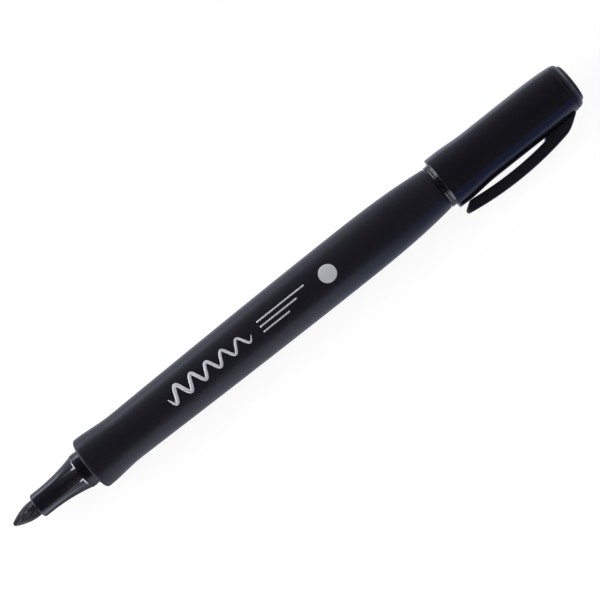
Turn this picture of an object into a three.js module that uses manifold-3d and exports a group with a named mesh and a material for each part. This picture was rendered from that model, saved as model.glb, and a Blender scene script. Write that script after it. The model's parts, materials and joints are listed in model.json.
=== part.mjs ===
// A permanent marker lying on its side, with its cap posted on the rear end.
// Sizes are millimetres. The marker's axis runs along X from the nib to the cap, Z is up and
// the table is at Z = 0. Stations are measured along the axis from the front of the barrel.

import * as THREE from 'three';
import { mergeVertices } from 'three/addons/utils/BufferGeometryUtils.js';
import Module from 'manifold-3d';

const wasm = await Module();
wasm.setup();

// Clearances between pieces
const pressGap = 0.05; // round a piece that is pushed into another
const slideGap = 0.06; // round the spigot inside the cap
const seamGap = 0.12; // between two faces that are butted together
const seatGap = 0.3; // between the posted cap and its stop
const cutMargin = 1.0; // how far a cutting body stands past what it cuts

// Felt nib
const nibRadius = 1.92;
const nibReach = 6.4; // from the tip to the front of the holder
const nibPointLength = 4.95; // from the tip to the full radius
const nibPointPower = 1.64; // 1 for a straight cone, 2 for a round bullet
const nibTipRadius = 0.6;
const nibTipTurn = 64; // degrees of the tip's rounding on each side
const nibTailLength = 5.0; // inside the reservoir
const nibTailTaper = 1.6;

// Nib holder
const holderReach = 14.17; // from its front to the front of the barrel
const holderFrontRadius = 2.83;
const holderFrontCorner = 0.5;
const holderTubeLength = 1.4; // straight stretch behind the front corner
const flareEndRadius = 4.05; // floor of the recesses at their rear ends
const landWidth = 3.06;
const landRise = 0.11; // of the lands over the recesses at their rear ends
const recessLength = 5.5;
const ringLength = 0.5; // solid ring between the recesses and the collar's groove
const collarGrooveWidth = 0.17;
const collarGrooveDepth = 0.12;
const beadRadius = 4.19; // sealing bead on the front edge of the collar
const beadLength = 0.35;
const collarRadius = 4.12;
const collarLength = 1.73;
const skirtLength = 9.5; // inside the barrel
const skirtWall = 0.85;
const holderHubLength = 3.5; // stretch of the skirt that is closed round the nib

// Barrel
const barrelLength = 93.6;
const barrelBore = 4.5;
const flareRadius = 6.13;
const waistRadius = 5.59;
const bellyRadius = 6.19;
const barrelRearRadius = 5.02;
const waistStation = 9.5;
const bellyStation = 68.0;
const barrelFrontCorner = 0.65;
const barrelRearCorner = 0.3;
const barrelLipLength = 1.2; // inward lip that holds the holder's shoulder
const barrelLipChamfer = 0.15;
const rearFallPower = 2.8; // how late the belly falls away to the rear

// Ink reservoir and the film round it
const filmWall = 0.15;
const filmAirGap = 0.2;
const reservoirEndGap = 0.2;

// Tail plug
const flangeRadius = 5.18;
const flangeLength = 1.75;
const flangeGrooveStation = 0.42;
const flangeGrooveWidth = 0.24;
const flangeGrooveDepth = 0.14;
const plugSkirtLength = 6.5;
const plugWall = 0.9;
const spigotLength = 10.0;
const spigotCorner = 0.6;

// Cap shell
const capShellLength = 32.55;
const capMouthOverlap = 0.6; // of the cap over the flange
const lipRadius = 6.27;
const lipLength = 2.4;
const lipCorner = 0.3;
const capRadius = 5.89;
const capEaseLength = 7.7; // from the lip down to the cap's own radius
const capFallLength = 8.0; // where the cap draws in towards its end
const capEndRadius = 5.53;
const capEndCorner = 0.1;
const capBore = 4.75;
const capMouthWall = 0.97;

// Sealing cup inside the cap
const cupLength = 21.6;
const cupRimLength = 1.5;
const cupFloor = 0.8;
const cupMouthChamfer = 0.25;
const cupFloorCorner = 0.8;

// Plug that closes the end of the cap
const endRimLength = 1.35;
const endRimTopRadius = 4.72;
const endDiscRadius = 4.44;
const endDiscHeight = 0.72;
const endDiscCorner = 0.15;
const endGrooveDepth = 0.15;
const endStemLength = 3.6;
const endStemWall = 0.9;

// Clip
const clipSetback = 0.45; // of the clip's tip from the mouth of the cap
const clipCrownSetback = 13.25; // of its highest point from the mouth of the cap
const clipCrownRadius = 9.5; // from the axis to its highest point
const clipBow = 75.5; // radius of its outer curve
const clipThickness = 2.5;
const clipTipWidth = 3.8;
const clipRootWidth = 4.4;
const clipEdge = 0.3; // bevel on its long edges
const clipTipCorner = 0.35;
const clipTipHeight = 1.4; // of the clip's square end
const clipTipSlant = 2.9; // length of the slant under the square end
const clipShoulderLength = 3.37; // sloping end that runs down to the cap
const clipShoulderSlope = 0.68; // its fall over its length
const clipShoulderRound = 0.7; // half the length of the bevel before it
const clipRootLength = 8.3;
const clipRootSetback = 1.1; // of the root from the end of the cap shell
const clipSeatGap = 0.15;
const tongueRooting = 0.12; // of the tongue in the clip's root
const tongueLength = 6.5;
const tongueWidth = 2.7;
const tongueSetback = 1.0; // from the rear end of the root
const tongueGap = 0.15;

// How finely round surfaces are divided
const roundSteps = 40;
const cornerSteps = 3;
const flareSteps = 6;

// Stations that follow from the sizes
const barrelFront = 0;
const holderFront = barrelFront - holderReach;
const nibTip = holderFront - nibReach;
const flareFront = holderFront + holderFrontCorner + holderTubeLength;
const grooveFront = barrelFront - collarLength - collarGrooveWidth;
const grooveRear = barrelFront - collarLength;
const recessRear = grooveFront - ringLength;
const recessFront = recessRear - recessLength;
const shoulderStation = barrelFront + barrelLipLength + seamGap;
const holderRear = shoulderStation + skirtLength;
const barrelRear = barrelFront + barrelLength;
const reservoirFront = holderRear + reservoirEndGap;
const reservoirRear = barrelRear - plugSkirtLength - reservoirEndGap;
const nibRear = reservoirFront + nibTailLength;
const flangeFront = barrelRear + seamGap;
const flangeRear = flangeFront + flangeLength;
const spigotEnd = flangeRear + spigotLength;
const capMouth = flangeRear - capMouthOverlap;
const capShellEnd = capMouth + capShellLength;
const cupMouth = flangeRear + seatGap;
const cupEnd = cupMouth + cupLength;
const endRimFront = capShellEnd + seamGap;
const endRimRear = endRimFront + endRimLength;
const capEnd = endRimRear + endDiscHeight;
const clipTip = capMouth + clipSetback;
const clipCrown = capMouth + clipCrownSetback;
const clipRootRear = capShellEnd - clipRootSetback;
const clipRootFront = clipRootRear - clipRootLength;
const tongueRear = clipRootRear - tongueSetback;
const tongueFront = tongueRear - tongueLength;

// Radii that follow from the sizes
const nibBore = nibRadius + pressGap;
const ringRadius = flareEndRadius + landRise;
const skirtRadius = barrelBore - pressGap;
const barrelLipBore = collarRadius + pressGap;
const filmRadius = barrelBore - filmAirGap;
const reservoirRadius = filmRadius - filmWall - pressGap;
const cupBore = beadRadius;
const spigotRadius = cupBore - slideGap;
const cupRadius = capBore - pressGap;
const capMouthBore = lipRadius - capMouthWall;
const cupRimRadius = capMouthBore - pressGap;
const endStemRadius = capBore - pressGap;

// A point of a turned outline: its radius and its station on the axis
function at(radius, station) {
  return new THREE.Vector2(radius, station);
}

// Points along a stretch whose radius follows a formula
function stretch(from, to, steps, radiusAt) {
  const points = [];
  for (let step = 0; step <= steps; step += 1) {
    const station = from + (to - from) * step / steps;
    points.push(at(radiusAt(station), station));
  }
  return points;
}

// Points round a corner, from one direction to another; 0 degrees points away from the axis
// and 90 degrees points towards the cap
function rounded(radius, station, size, fromDegrees, toDegrees, steps = cornerSteps) {
  const points = [];
  for (let step = 0; step <= steps; step += 1) {
    const degrees = fromDegrees + (toDegrees - fromDegrees) * step / steps;
    const angle = THREE.MathUtils.degToRad(degrees);
    points.push(at(radius + size * Math.cos(angle), station + size * Math.sin(angle)));
  }
  return points;
}

// Half a wave, from 0 to 1
function ease(share) {
  return (1 - Math.cos(Math.PI * share)) / 2;
}

// A solid turned about the X axis from an outline
function turned(points) {
  const geometry = new THREE.LatheGeometry(points, roundSteps);
  geometry.rotateZ(-Math.PI / 2);
  return geometry;
}

// A ring or tube: the same, from an outline that comes back to its first point
function turnedRing(points) {
  return turned([...points, points[0].clone()]);
}

// A box given by its lowest and highest corner
function block(low, high) {
  const size = high.clone().sub(low);
  const middle = high.clone().add(low).multiplyScalar(0.5);
  const geometry = new THREE.BoxGeometry(size.x, size.y, size.z);
  geometry.translate(middle.x, middle.y, middle.z);
  return geometry;
}

// A geometry as a solid that can be cut and joined
function toSolid(geometry) {
  const bare = geometry.clone();
  bare.deleteAttribute('normal');
  bare.deleteAttribute('uv');
  const merged = mergeVertices(bare, 1e-5);
  const index = merged.index.array;
  const corners = [];
  for (let first = 0; first < index.length; first += 3) {
    const [a, b, c] = index.slice(first, first + 3);
    if (a !== b && b !== c && c !== a) {
      corners.push(a, b, c);
    }
  }
  const mesh = new wasm.Mesh({
    numProp: 3,
    vertProperties: new Float32Array(merged.attributes.position.array),
    triVerts: new Uint32Array(corners),
  });
  return new wasm.Manifold(mesh);
}

function toGeometry(solid) {
  const mesh = solid.getMesh();
  const geometry = new THREE.BufferGeometry();
  geometry.setAttribute('position', new THREE.BufferAttribute(mesh.vertProperties, 3));
  geometry.setIndex(new THREE.BufferAttribute(mesh.triVerts, 1));
  geometry.computeVertexNormals();
  return geometry;
}

function plastic(color, roughness) {
  return new THREE.MeshStandardMaterial({ color, roughness, metalness: 0 });
}

function piece(name, geometry, material) {
  const mesh = new THREE.Mesh(geometry, material);
  mesh.name = name;
  return mesh;
}

// Pointed front: a small round tip that runs into a long arc, and a short taper at the rear
function makeNib() {
  const tip = rounded(0, nibTip + nibTipRadius, nibTipRadius, -90, nibTipTurn - 90);
  const tipEnd = tip.at(-1);
  const pointEnd = nibTip + nibPointLength;
  const radiusAt = (station) => {
    const share = (pointEnd - station) / (pointEnd - tipEnd.y);
    return nibRadius - (nibRadius - tipEnd.x) * share ** nibPointPower;
  };
  const outline = [
    ...tip,
    ...stretch(tipEnd.y, pointEnd, 6, radiusAt).slice(1),
    at(nibRadius, nibRear - nibTailTaper),
    at(nibRadius / 2, nibRear),
    at(0, nibRear),
  ];
  outline[0].x = 0;
  return piece('nib', turned(outline), plastic(0x2e2c2e, 0.95));
}

// Radius of the nib holder on the flare between its tube and its ring, without the lands
function flareRadiusAt(station) {
  const share = (station - flareFront) / (recessRear - flareFront);
  return holderFrontRadius + (flareEndRadius - holderFrontRadius) * share ** 2;
}

// The lands rise out of the flare and run into the ring
function landRadiusAt(station) {
  return flareRadiusAt(station) + landRise * (station - recessFront) / recessLength;
}

// The two recesses: outside the flare, and clear of the lands above and below the axis
function makeRecesses() {
  const reach = ringRadius + cutMargin;
  const side = block(
    new THREE.Vector3(recessFront, landWidth / 2, -reach),
    new THREE.Vector3(recessRear, reach, reach),
  );
  const otherSide = side.clone().rotateX(Math.PI);
  const flare = turned([
    at(0, recessFront),
    ...stretch(recessFront, recessRear, flareSteps, flareRadiusAt),
    at(0, recessRear),
  ]);
  return toSolid(side).add(toSolid(otherSide)).subtract(toSolid(flare));
}

function makeNibHolder() {
  const frontFace = holderFront + holderFrontCorner;
  const frontCornerRadius = holderFrontRadius - holderFrontCorner;
  const grooveRadius = collarRadius - collarGrooveDepth;
  const hubRear = shoulderStation + holderHubLength;
  const body = turnedRing([
    at(nibBore, holderFront),
    ...rounded(frontCornerRadius, frontFace, holderFrontCorner, -90, 0),
    ...stretch(flareFront, recessFront, flareSteps, flareRadiusAt),
    ...stretch(recessFront, recessRear, flareSteps, landRadiusAt).slice(1),
    at(ringRadius, grooveFront),
    at(grooveRadius, grooveFront),
    at(grooveRadius, grooveRear),
    at(beadRadius, grooveRear),
    at(beadRadius, grooveRear + beadLength),
    at(collarRadius, grooveRear + beadLength),
    at(collarRadius, shoulderStation),
    at(skirtRadius, shoulderStation),
    at(skirtRadius, holderRear),
    at(skirtRadius - skirtWall, holderRear),
    at(skirtRadius - skirtWall, hubRear),
    at(nibBore, hubRear),
  ]);
  const cut = toSolid(body).subtract(makeRecesses());
  return piece('nib_holder', toGeometry(cut), plastic(0x131316, 0.2));
}

// Outer radius of the barrel behind its front corner
function barrelRadiusAt(station) {
  const crest = barrelFront + barrelFrontCorner;
  if (station < waistStation) {
    const share = (station - crest) / (waistStation - crest);
    return flareRadius + (waistRadius - flareRadius) * ease(share);
  }
  if (station < bellyStation) {
    const share = (station - waistStation) / (bellyStation - waistStation);
    return waistRadius + (bellyRadius - waistRadius) * Math.sin(Math.PI / 2 * share);
  }
  const share = (station - bellyStation) / (barrelRear - bellyStation);
  return bellyRadius + (barrelRearRadius - bellyRadius) * share ** rearFallPower;
}

function makeBarrel() {
  const crest = barrelFront + barrelFrontCorner;
  const rearCorner = barrelRear - barrelRearCorner;
  const rearCornerRadius = barrelRadiusAt(rearCorner) - barrelRearCorner;
  const lipRear = barrelFront + barrelLipLength;
  const shell = turnedRing([
    at(barrelLipBore, barrelFront + barrelLipChamfer),
    at(barrelLipBore + barrelLipChamfer, barrelFront),
    ...rounded(flareRadius - barrelFrontCorner, crest, barrelFrontCorner, -90, 0),
    ...stretch(crest, waistStation, 6, barrelRadiusAt).slice(1),
    ...stretch(waistStation, bellyStation, 8, barrelRadiusAt).slice(1),
    ...stretch(bellyStation, rearCorner, 8, barrelRadiusAt).slice(1),
    ...rounded(rearCornerRadius, rearCorner, barrelRearCorner, 0, 90, 2).slice(1),
    at(barrelBore, barrelRear),
    at(barrelBore, lipRear),
    at(barrelLipBore, lipRear),
  ]);
  return piece('barrel', shell, plastic(0x1a1a1d, 0.6));
}

// Fibre rod with a hole for the rear end of the nib
function makeInkReservoir() {
  const holeEnd = nibRear + reservoirEndGap;
  const rod = turned([
    at(0, holeEnd),
    at(nibBore, holeEnd),
    at(nibBore, reservoirFront),
    at(reservoirRadius, reservoirFront),
    at(reservoirRadius, reservoirRear),
    at(0, reservoirRear),
  ]);
  return piece('ink_reservoir', rod, plastic(0x101014, 1));
}

function makeReservoirFilm() {
  const film = turnedRing([
    at(filmRadius - filmWall, reservoirFront),
    at(filmRadius, reservoirFront),
    at(filmRadius, reservoirRear),
    at(filmRadius - filmWall, reservoirRear),
  ]);
  return piece('reservoir_film', film, plastic(0xd8d8d2, 0.35));
}

// Skirt in the barrel, grooved flange that shows, and the spigot that carries the posted cap
function makeTailPlug() {
  const grooveFloor = flangeRadius - flangeGrooveDepth;
  const flangeGroove = flangeFront + flangeGrooveStation;
  const plug = turned([
    at(0, spigotEnd - plugWall),
    at(spigotRadius - plugWall, spigotEnd - plugWall),
    at(spigotRadius - plugWall, barrelRear - plugSkirtLength),
    at(barrelBore - pressGap, barrelRear - plugSkirtLength),
    at(barrelBore - pressGap, flangeFront),
    at(flangeRadius, flangeFront),
    at(flangeRadius, flangeGroove),
    at(grooveFloor, flangeGroove),
    at(grooveFloor, flangeGroove + flangeGrooveWidth),
    at(flangeRadius, flangeGroove + flangeGrooveWidth),
    at(flangeRadius, flangeRear),
    at(spigotRadius, flangeRear),
    ...rounded(spigotRadius - spigotCorner, spigotEnd - spigotCorner, spigotCorner, 0, 90),
    at(0, spigotEnd),
  ]);
  return piece('tail_plug', plug, plastic(0x131316, 0.25));
}

// Outer radius of the cap shell behind its lip
function capRadiusAt(station) {
  const lipEnd = capMouth + lipLength;
  const easeEnd = lipEnd + capEaseLength;
  const fallStart = capShellEnd - capFallLength;
  if (station < easeEnd) {
    return lipRadius + (capRadius - lipRadius) * ease((station - lipEnd) / capEaseLength);
  }
  if (station < fallStart) {
    return capRadius;
  }
  return capRadius + (capEndRadius - capRadius) * ((station - fallStart) / capFallLength) ** 2;
}

// The hole in the cap's wall that takes the clip's tongue
function makeClipSlot() {
  const halfWidth = tongueWidth / 2 + tongueGap;
  return toSolid(block(
    new THREE.Vector3(tongueFront - tongueGap, -capRadius - cutMargin, -halfWidth),
    new THREE.Vector3(tongueRear + tongueGap, cutMargin - capBore, halfWidth),
  ));
}

function makeCapShell() {
  const lipEnd = capMouth + lipLength;
  const fallStart = capShellEnd - capFallLength;
  const endCorner = capShellEnd - capEndCorner;
  const rimSeat = cupMouth + cupRimLength + pressGap;
  const shell = turnedRing([
    at(capMouthBore, capMouth),
    ...rounded(lipRadius - lipCorner, capMouth + lipCorner, lipCorner, -90, 0),
    ...stretch(lipEnd, lipEnd + capEaseLength, 6, capRadiusAt),
    ...stretch(fallStart, endCorner, 4, capRadiusAt),
    ...rounded(capRadiusAt(endCorner) - capEndCorner, endCorner, capEndCorner, 0, 90, 1).slice(1),
    at(capBore, capShellEnd),
    at(capBore, rimSeat),
    at(capMouthBore, rimSeat),
  ]);
  const slotted = toSolid(shell).subtract(makeClipSlot());
  return piece('cap_shell', toGeometry(slotted), plastic(0x0e0e12, 0.15));
}

function makeCapInnerCup() {
  const floorCorner = cupEnd - cupFloorCorner;
  const cup = turned([
    at(0, cupEnd - cupFloor),
    at(cupBore, cupEnd - cupFloor),
    at(cupBore, cupMouth + cupMouthChamfer),
    at(cupBore + cupMouthChamfer, cupMouth),
    at(cupRimRadius, cupMouth),
    at(cupRimRadius, cupMouth + cupRimLength),
    at(cupRadius, cupMouth + cupRimLength),
    ...rounded(cupRadius - cupFloorCorner, floorCorner, cupFloorCorner, 0, 90),
    at(0, cupEnd),
  ]);
  return piece('cap_inner_cup', cup, plastic(0xd9d9d4, 0.5));
}

// A domed rim that carries on the cap's outline, a raised disc and a hollow stem in the cap
function makeCapEndPlug() {
  const rimRadius = capEndRadius - capEndCorner;
  const stemFront = capShellEnd - endStemLength;
  const domeAt = (station) => {
    const share = (station - endRimFront) / endRimLength;
    const fall = Math.sqrt(Math.max(1 - share ** 2, 0));
    return endRimTopRadius + (rimRadius - endRimTopRadius) * fall;
  };
  const discCorner = capEnd - endDiscCorner;
  const plug = turned([
    at(0, endRimFront),
    at(endStemRadius - endStemWall, endRimFront),
    at(endStemRadius - endStemWall, stemFront),
    at(endStemRadius, stemFront),
    at(endStemRadius, endRimFront),
    ...stretch(endRimFront, endRimRear, 6, domeAt),
    at(endRimTopRadius, endRimRear - endGrooveDepth),
    at(endDiscRadius, endRimRear - endGrooveDepth),
    ...rounded(endDiscRadius - endDiscCorner, discCorner, endDiscCorner, 0, 90, 2),
    at(0, capEnd),
  ]);
  return piece('cap_end_plug', plug, plastic(0x2a2c30, 0.3));
}

// Distance from the axis to a curve that runs parallel to the clip's outer one
function clipRadiusAt(station, depth) {
  const bow = clipBow - depth;
  return clipCrownRadius - clipBow + Math.sqrt(bow ** 2 - (station - clipCrown) ** 2);
}

// The clip's side outline; it points along -Y, away from the axis
function makeClipOutline() {
  const bevelFront = clipRootRear - clipShoulderLength - clipShoulderRound;
  const bevelRear = bevelFront + 2 * clipShoulderRound;
  const heelRadius = capRadiusAt(clipRootRear);
  const tipRadius = clipRadiusAt(clipTip, 0);
  const rootFoot = capEndRadius / 2;
  const outline = new THREE.Shape();
  const points = [
    ...stretch(clipTip + clipTipSlant, clipRootFront, 10, (x) => clipRadiusAt(x, clipThickness)),
    at(rootFoot, clipRootFront),
    at(rootFoot, clipRootRear),
    at(heelRadius, clipRootRear),
    at(heelRadius + clipShoulderSlope * (clipRootRear - bevelRear), bevelRear),
    ...stretch(clipTip + clipTipCorner, bevelFront, 12, (x) => clipRadiusAt(x, 0)).reverse(),
    at(tipRadius - clipTipCorner, clipTip),
    at(tipRadius - clipTipHeight, clipTip),
  ];
  outline.setFromPoints(points.map((point) => new THREE.Vector2(point.y, -point.x)));
  return outline;
}

// Width of the clip, which narrows from its root to its tip
function clipWidthAt(station) {
  const share = (station - clipTip) / (clipRootRear - clipTip);
  return THREE.MathUtils.lerp(clipTipWidth, clipRootWidth, share);
}

function taperClip(geometry) {
  const position = geometry.attributes.position;
  for (let vertex = 0; vertex < position.count; vertex += 1) {
    const narrowing = clipWidthAt(position.getX(vertex)) / clipRootWidth;
    position.setZ(vertex, position.getZ(vertex) * narrowing);
  }
}

// The clip's arm and root sit on the cap, and its tongue goes through the cap's wall
function makeClip() {
  const arm = new THREE.ExtrudeGeometry(makeClipOutline(), {
    depth: clipRootWidth - 2 * clipEdge,
    bevelThickness: clipEdge,
    bevelSize: clipEdge,
    bevelOffset: -clipEdge,
    bevelSegments: 1,
  });
  arm.translate(0, 0, clipEdge - clipRootWidth / 2);
  taperClip(arm);
  const seat = turned([
    at(0, clipRootFront - cutMargin),
    ...stretch(clipRootFront - cutMargin, capShellEnd, 6, (x) => capRadiusAt(x) + clipSeatGap),
    at(0, capShellEnd),
  ]);
  const tongue = block(
    new THREE.Vector3(tongueFront, -capRadius - clipSeatGap - tongueRooting, -tongueWidth / 2),
    new THREE.Vector3(tongueRear, -capBore - tongueGap, tongueWidth / 2),
  );
  const solid = toSolid(arm).subtract(toSolid(seat)).add(toSolid(tongue));
  return piece('clip', toGeometry(solid), plastic(0x17161b, 0.35));
}

// How far the clip points below the horizontal when its lower edge touches the table
function clipRestAngle() {
  const halfWidth = clipWidthAt(clipCrown) / 2;
  const edges = [
    at(clipCrownRadius, halfWidth - clipEdge),
    at(clipCrownRadius - clipEdge, halfWidth),
  ];
  const angles = edges.map((edge) => Math.asin(lipRadius / edge.length()) - edge.angle());
  return Math.min(...angles);
}

// How far the clip then stands out sideways from the axis
function clipSideReach(angle) {
  const halfWidth = clipWidthAt(clipCrown) / 2;
  return clipCrownRadius * Math.cos(angle) + (halfWidth - clipEdge) * Math.sin(angle);
}

function makeMarker() {
  const restAngle = clipRestAngle();
  const marker = new THREE.Group();
  marker.add(makeBarrel());
  marker.add(makeNibHolder());
  marker.add(makeNib());
  marker.add(makeInkReservoir());
  marker.add(makeReservoirFilm());
  marker.add(makeTailPlug());
  const cap = new THREE.Group();
  cap.add(makeCapShell());
  cap.add(makeCapInnerCup());
  cap.add(makeCapEndPlug());
  cap.add(makeClip());
  marker.add(cap);
  marker.rotation.x = restAngle;
  const middle = (nibTip + capEnd) / 2;
  marker.position.set(-middle, (clipSideReach(restAngle) - lipRadius) / 2, lipRadius);
  return marker;
}

export default makeMarker();
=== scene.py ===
# %% [markdown]
# # A permanent marker with its cap posted on the rear end
# The marker lies on a table with the edge of its clip touching the surface. Every visible piece
# is modelled again here as a fine mesh, round the coarse solids that carry the mechanics.
# The first step loads those solids: they give the place and the length of every piece.

import json
import math

import bmesh
import bpy
from mathutils import Matrix, Vector, noise


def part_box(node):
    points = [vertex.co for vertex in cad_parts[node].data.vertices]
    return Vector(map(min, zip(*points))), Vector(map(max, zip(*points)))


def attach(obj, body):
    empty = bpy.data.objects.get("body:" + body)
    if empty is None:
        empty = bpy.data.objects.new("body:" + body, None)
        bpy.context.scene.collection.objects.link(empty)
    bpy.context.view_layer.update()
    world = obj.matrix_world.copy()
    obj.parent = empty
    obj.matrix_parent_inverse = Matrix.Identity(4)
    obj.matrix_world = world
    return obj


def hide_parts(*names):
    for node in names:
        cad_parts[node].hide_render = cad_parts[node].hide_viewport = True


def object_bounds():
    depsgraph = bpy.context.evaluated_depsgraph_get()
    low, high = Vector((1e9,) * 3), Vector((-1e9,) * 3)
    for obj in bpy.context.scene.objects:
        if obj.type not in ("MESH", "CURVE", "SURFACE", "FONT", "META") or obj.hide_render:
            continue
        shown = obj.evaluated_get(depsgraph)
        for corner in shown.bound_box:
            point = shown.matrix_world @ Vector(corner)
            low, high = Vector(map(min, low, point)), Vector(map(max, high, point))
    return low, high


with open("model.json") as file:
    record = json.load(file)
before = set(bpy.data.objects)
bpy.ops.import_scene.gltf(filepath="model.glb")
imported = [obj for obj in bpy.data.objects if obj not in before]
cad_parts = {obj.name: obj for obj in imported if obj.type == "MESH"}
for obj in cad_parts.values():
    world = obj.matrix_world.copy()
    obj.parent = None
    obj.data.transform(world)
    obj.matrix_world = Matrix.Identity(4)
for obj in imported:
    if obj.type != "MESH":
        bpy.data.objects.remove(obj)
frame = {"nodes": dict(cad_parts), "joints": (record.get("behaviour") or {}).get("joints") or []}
cad_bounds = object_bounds()
print("nodes:", sorted(frame["nodes"]))

# %% [markdown]
# ## Where the marker lies
# Nearly every piece is round, so it helps to work in the marker's own directions instead of
# X, Y and Z. The axis runs along X. One direction points from the axis to the clip, and the
# other one is square to both and points up at the viewer. Both come from the clip's hinge.

# %% The marker's own directions
MM = 0.001
joints = {joint["name"]: joint for joint in frame["joints"]}
ALONG = Vector((1, 0, 0))
FACE_WAY = Vector(joints["clip_flex"]["axis"]).normalized()
CLIP_WAY = ALONG.cross(FACE_WAY)
AXIS_POINT = Vector((0, joints["cap_turn"]["pos_m"][1], joints["cap_turn"]["pos_m"][2]))


def ends(node):
    """Where a solid begins and ends along the axis."""
    low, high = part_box(node)
    return low.x, high.x


barrel_front, barrel_rear = ends("barrel")
nib_tip, nib_rear = ends("nib")
holder_front, holder_rear = ends("nib_holder")
plug_front, spigot_end = ends("tail_plug")
cap_mouth, cap_shell_end = ends("cap_shell")
cup_mouth, cup_end = ends("cap_inner_cup")
end_plug_front, cap_end = ends("cap_end_plug")
clip_tip, clip_rear = ends("clip")
print("clip points", [round(part, 3) for part in CLIP_WAY])
print("length in mm:", round((cap_end - nib_tip) / MM, 2))

# %% [markdown]
# ## Fits
# Pieces that belong together share their sizes: a bore is the radius of what goes into it
# plus a clearance. Three clearances do for nearly all of them. Sizes are in millimetres, and
# MM turns them into Blender's metres.

# %% Clearances between pieces
PRESS_GAP = 0.05
SLIDE_GAP = 0.06
SEAM = 0.12
print("gaps of", PRESS_GAP, SLIDE_GAP, "and", SEAM, "mm")

# %% [markdown]
# ## Turned pieces
# A lathe shape is a list of rings. Each corner of the outline gets a small rounding, because
# no moulded edge is perfectly sharp and the rounding is what catches the light. Outlines are
# written as (radius, station) with an optional rounding, and a station is counted from one end
# of the piece. A Screw modifier would make the same shape, but rings made in code can also
# change their radius round the axis, which the nib holder needs later.

# %% Helpers for outlines
def blend(start, end, share):
    """The number that lies at a share of the way from start to end."""
    return start + (end - start) * share


def share_of(here, start, end):
    """How much of the way from start to end lies behind a station."""
    return (here - start) / (end - start)


def ease(share):
    """Half a wave, from 0 to 1."""
    return (1 - math.cos(math.pi * share)) / 2


def spaced(start, end, steps):
    """Evenly spaced numbers from start to end, with both ends among them."""
    return [blend(start, end, step / steps) for step in range(steps + 1)]


def curved(corners, share):
    """A point on the smooth curve that a few corners pull into shape."""
    while len(corners) > 1:
        corners = [here.lerp(after, share) for here, after in zip(corners, corners[1:])]
    return corners[0]


def softened(corners, steps=4):
    """Rounds the corners that ask for it with a short curve."""
    outline = []
    for index, corner in enumerate(corners):
        here = Vector(corner[:2])
        if len(corner) < 3:
            outline.append(here)
            continue
        before = Vector(corners[index - 1][:2])
        after = Vector(corners[(index + 1) % len(corners)][:2])
        first = here + (before - here).normalized() * corner[2]
        last = here + (after - here).normalized() * corner[2]
        outline += [curved([first, here, last], share) for share in spaced(0, 1, steps)]
    return outline


def stretch(start, end, steps, radius_at):
    """Outline points along a stretch whose radius follows a formula."""
    return [(radius_at(station), station) for station in spaced(start, end, steps)]


def arc(radius, station, size, from_degrees, to_degrees, steps=8):
    """Outline points round an arc; 0 degrees points away from the axis, 90 towards the cap."""
    turns = spaced(math.radians(from_degrees), math.radians(to_degrees), steps)
    return [(radius + size * math.cos(turn), station + size * math.sin(turn)) for turn in turns]


# %% [markdown]
# The outlines become meshes in two steps: the outline is turned into rings of points, and
# faces are skinned over neighbouring rings. The same skinning serves the nib holder and the
# clip, whose cross-sections aren't round.

# %% Helpers that skin rings
def new_piece(name, build):
    """A smooth-shaded object from a bmesh, with its faces pointing outwards."""
    bmesh.ops.recalc_face_normals(build, faces=build.faces)
    for face in build.faces:
        face.smooth = True
    mesh = bpy.data.meshes.new(name)
    build.to_mesh(mesh)
    build.free()
    piece = bpy.data.objects.new(name, mesh)
    bpy.context.scene.collection.objects.link(piece)
    print(f"{name}: {len(mesh.polygons)} faces")
    return piece


def bridge(build, near, far):
    """Faces between two rings; a ring of one point is a pole on the axis."""
    count = max(len(near), len(far))
    for step in range(count):
        after = (step + 1) % count
        if len(near) == 1:
            build.faces.new((near[0], far[step], far[after]))
        elif len(far) == 1:
            build.faces.new((near[step], far[0], near[after]))
        else:
            build.faces.new((near[step], far[step], far[after], near[after]))


def lofted(name, rings, closed):
    """A piece skinned over rings of points; a closed one comes back to its first ring."""
    build = bmesh.new()
    verts = [[build.verts.new(point) for point in ring] for ring in rings]
    pairs = list(zip(verts, verts[1:]))
    if closed:
        pairs.append((verts[-1], verts[0]))
    for near, far in pairs:
        bridge(build, near, far)
    if not closed:
        for ring in (verts[0], verts[-1]):
            if len(ring) > 1:
                build.faces.new(ring)
    return new_piece(name, build)


def keep_sharp(piece, degrees):
    """Stops the smooth shading at edges that turn by more than an angle."""
    piece.data.set_sharp_from_angle(angle=math.radians(degrees))


# %% Helpers for round pieces
ROUND_STEPS = 144
POLE_RADIUS = 1e-4


def from_axis(x, clip_side, viewer_side):
    """A point at x along the axis, so many mm towards the clip and towards the viewer."""
    return AXIS_POINT + ALONG * x + CLIP_WAY * (clip_side * MM) + FACE_WAY * (viewer_side * MM)


def place(x, radius, angle):
    """A point so many mm from the axis; angle 0 points at the clip, 90 degrees at the viewer."""
    outward = math.cos(angle) * CLIP_WAY + math.sin(angle) * FACE_WAY
    return AXIS_POINT + ALONG * x + outward * (radius * MM)


def ring_at(x, radius):
    """A circle of points round the axis, or one point on it."""
    if radius < POLE_RADIUS:
        return [place(x, 0, 0)]
    return [place(x, radius, angle) for angle in spaced(0, 2 * math.pi, ROUND_STEPS)[:-1]]


def rings_of(outline, start):
    """One ring for every point of an outline whose stations are counted from start."""
    return [ring_at(start + station * MM, radius) for radius, station in outline]


def turned(name, outline, start, closed):
    """A piece turned from an outline, with its shading evened over faces of all sizes."""
    piece = lofted(name, rings_of(outline, start), closed)
    piece.modifiers.new("even shading", "WEIGHTED_NORMAL")
    return piece


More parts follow.
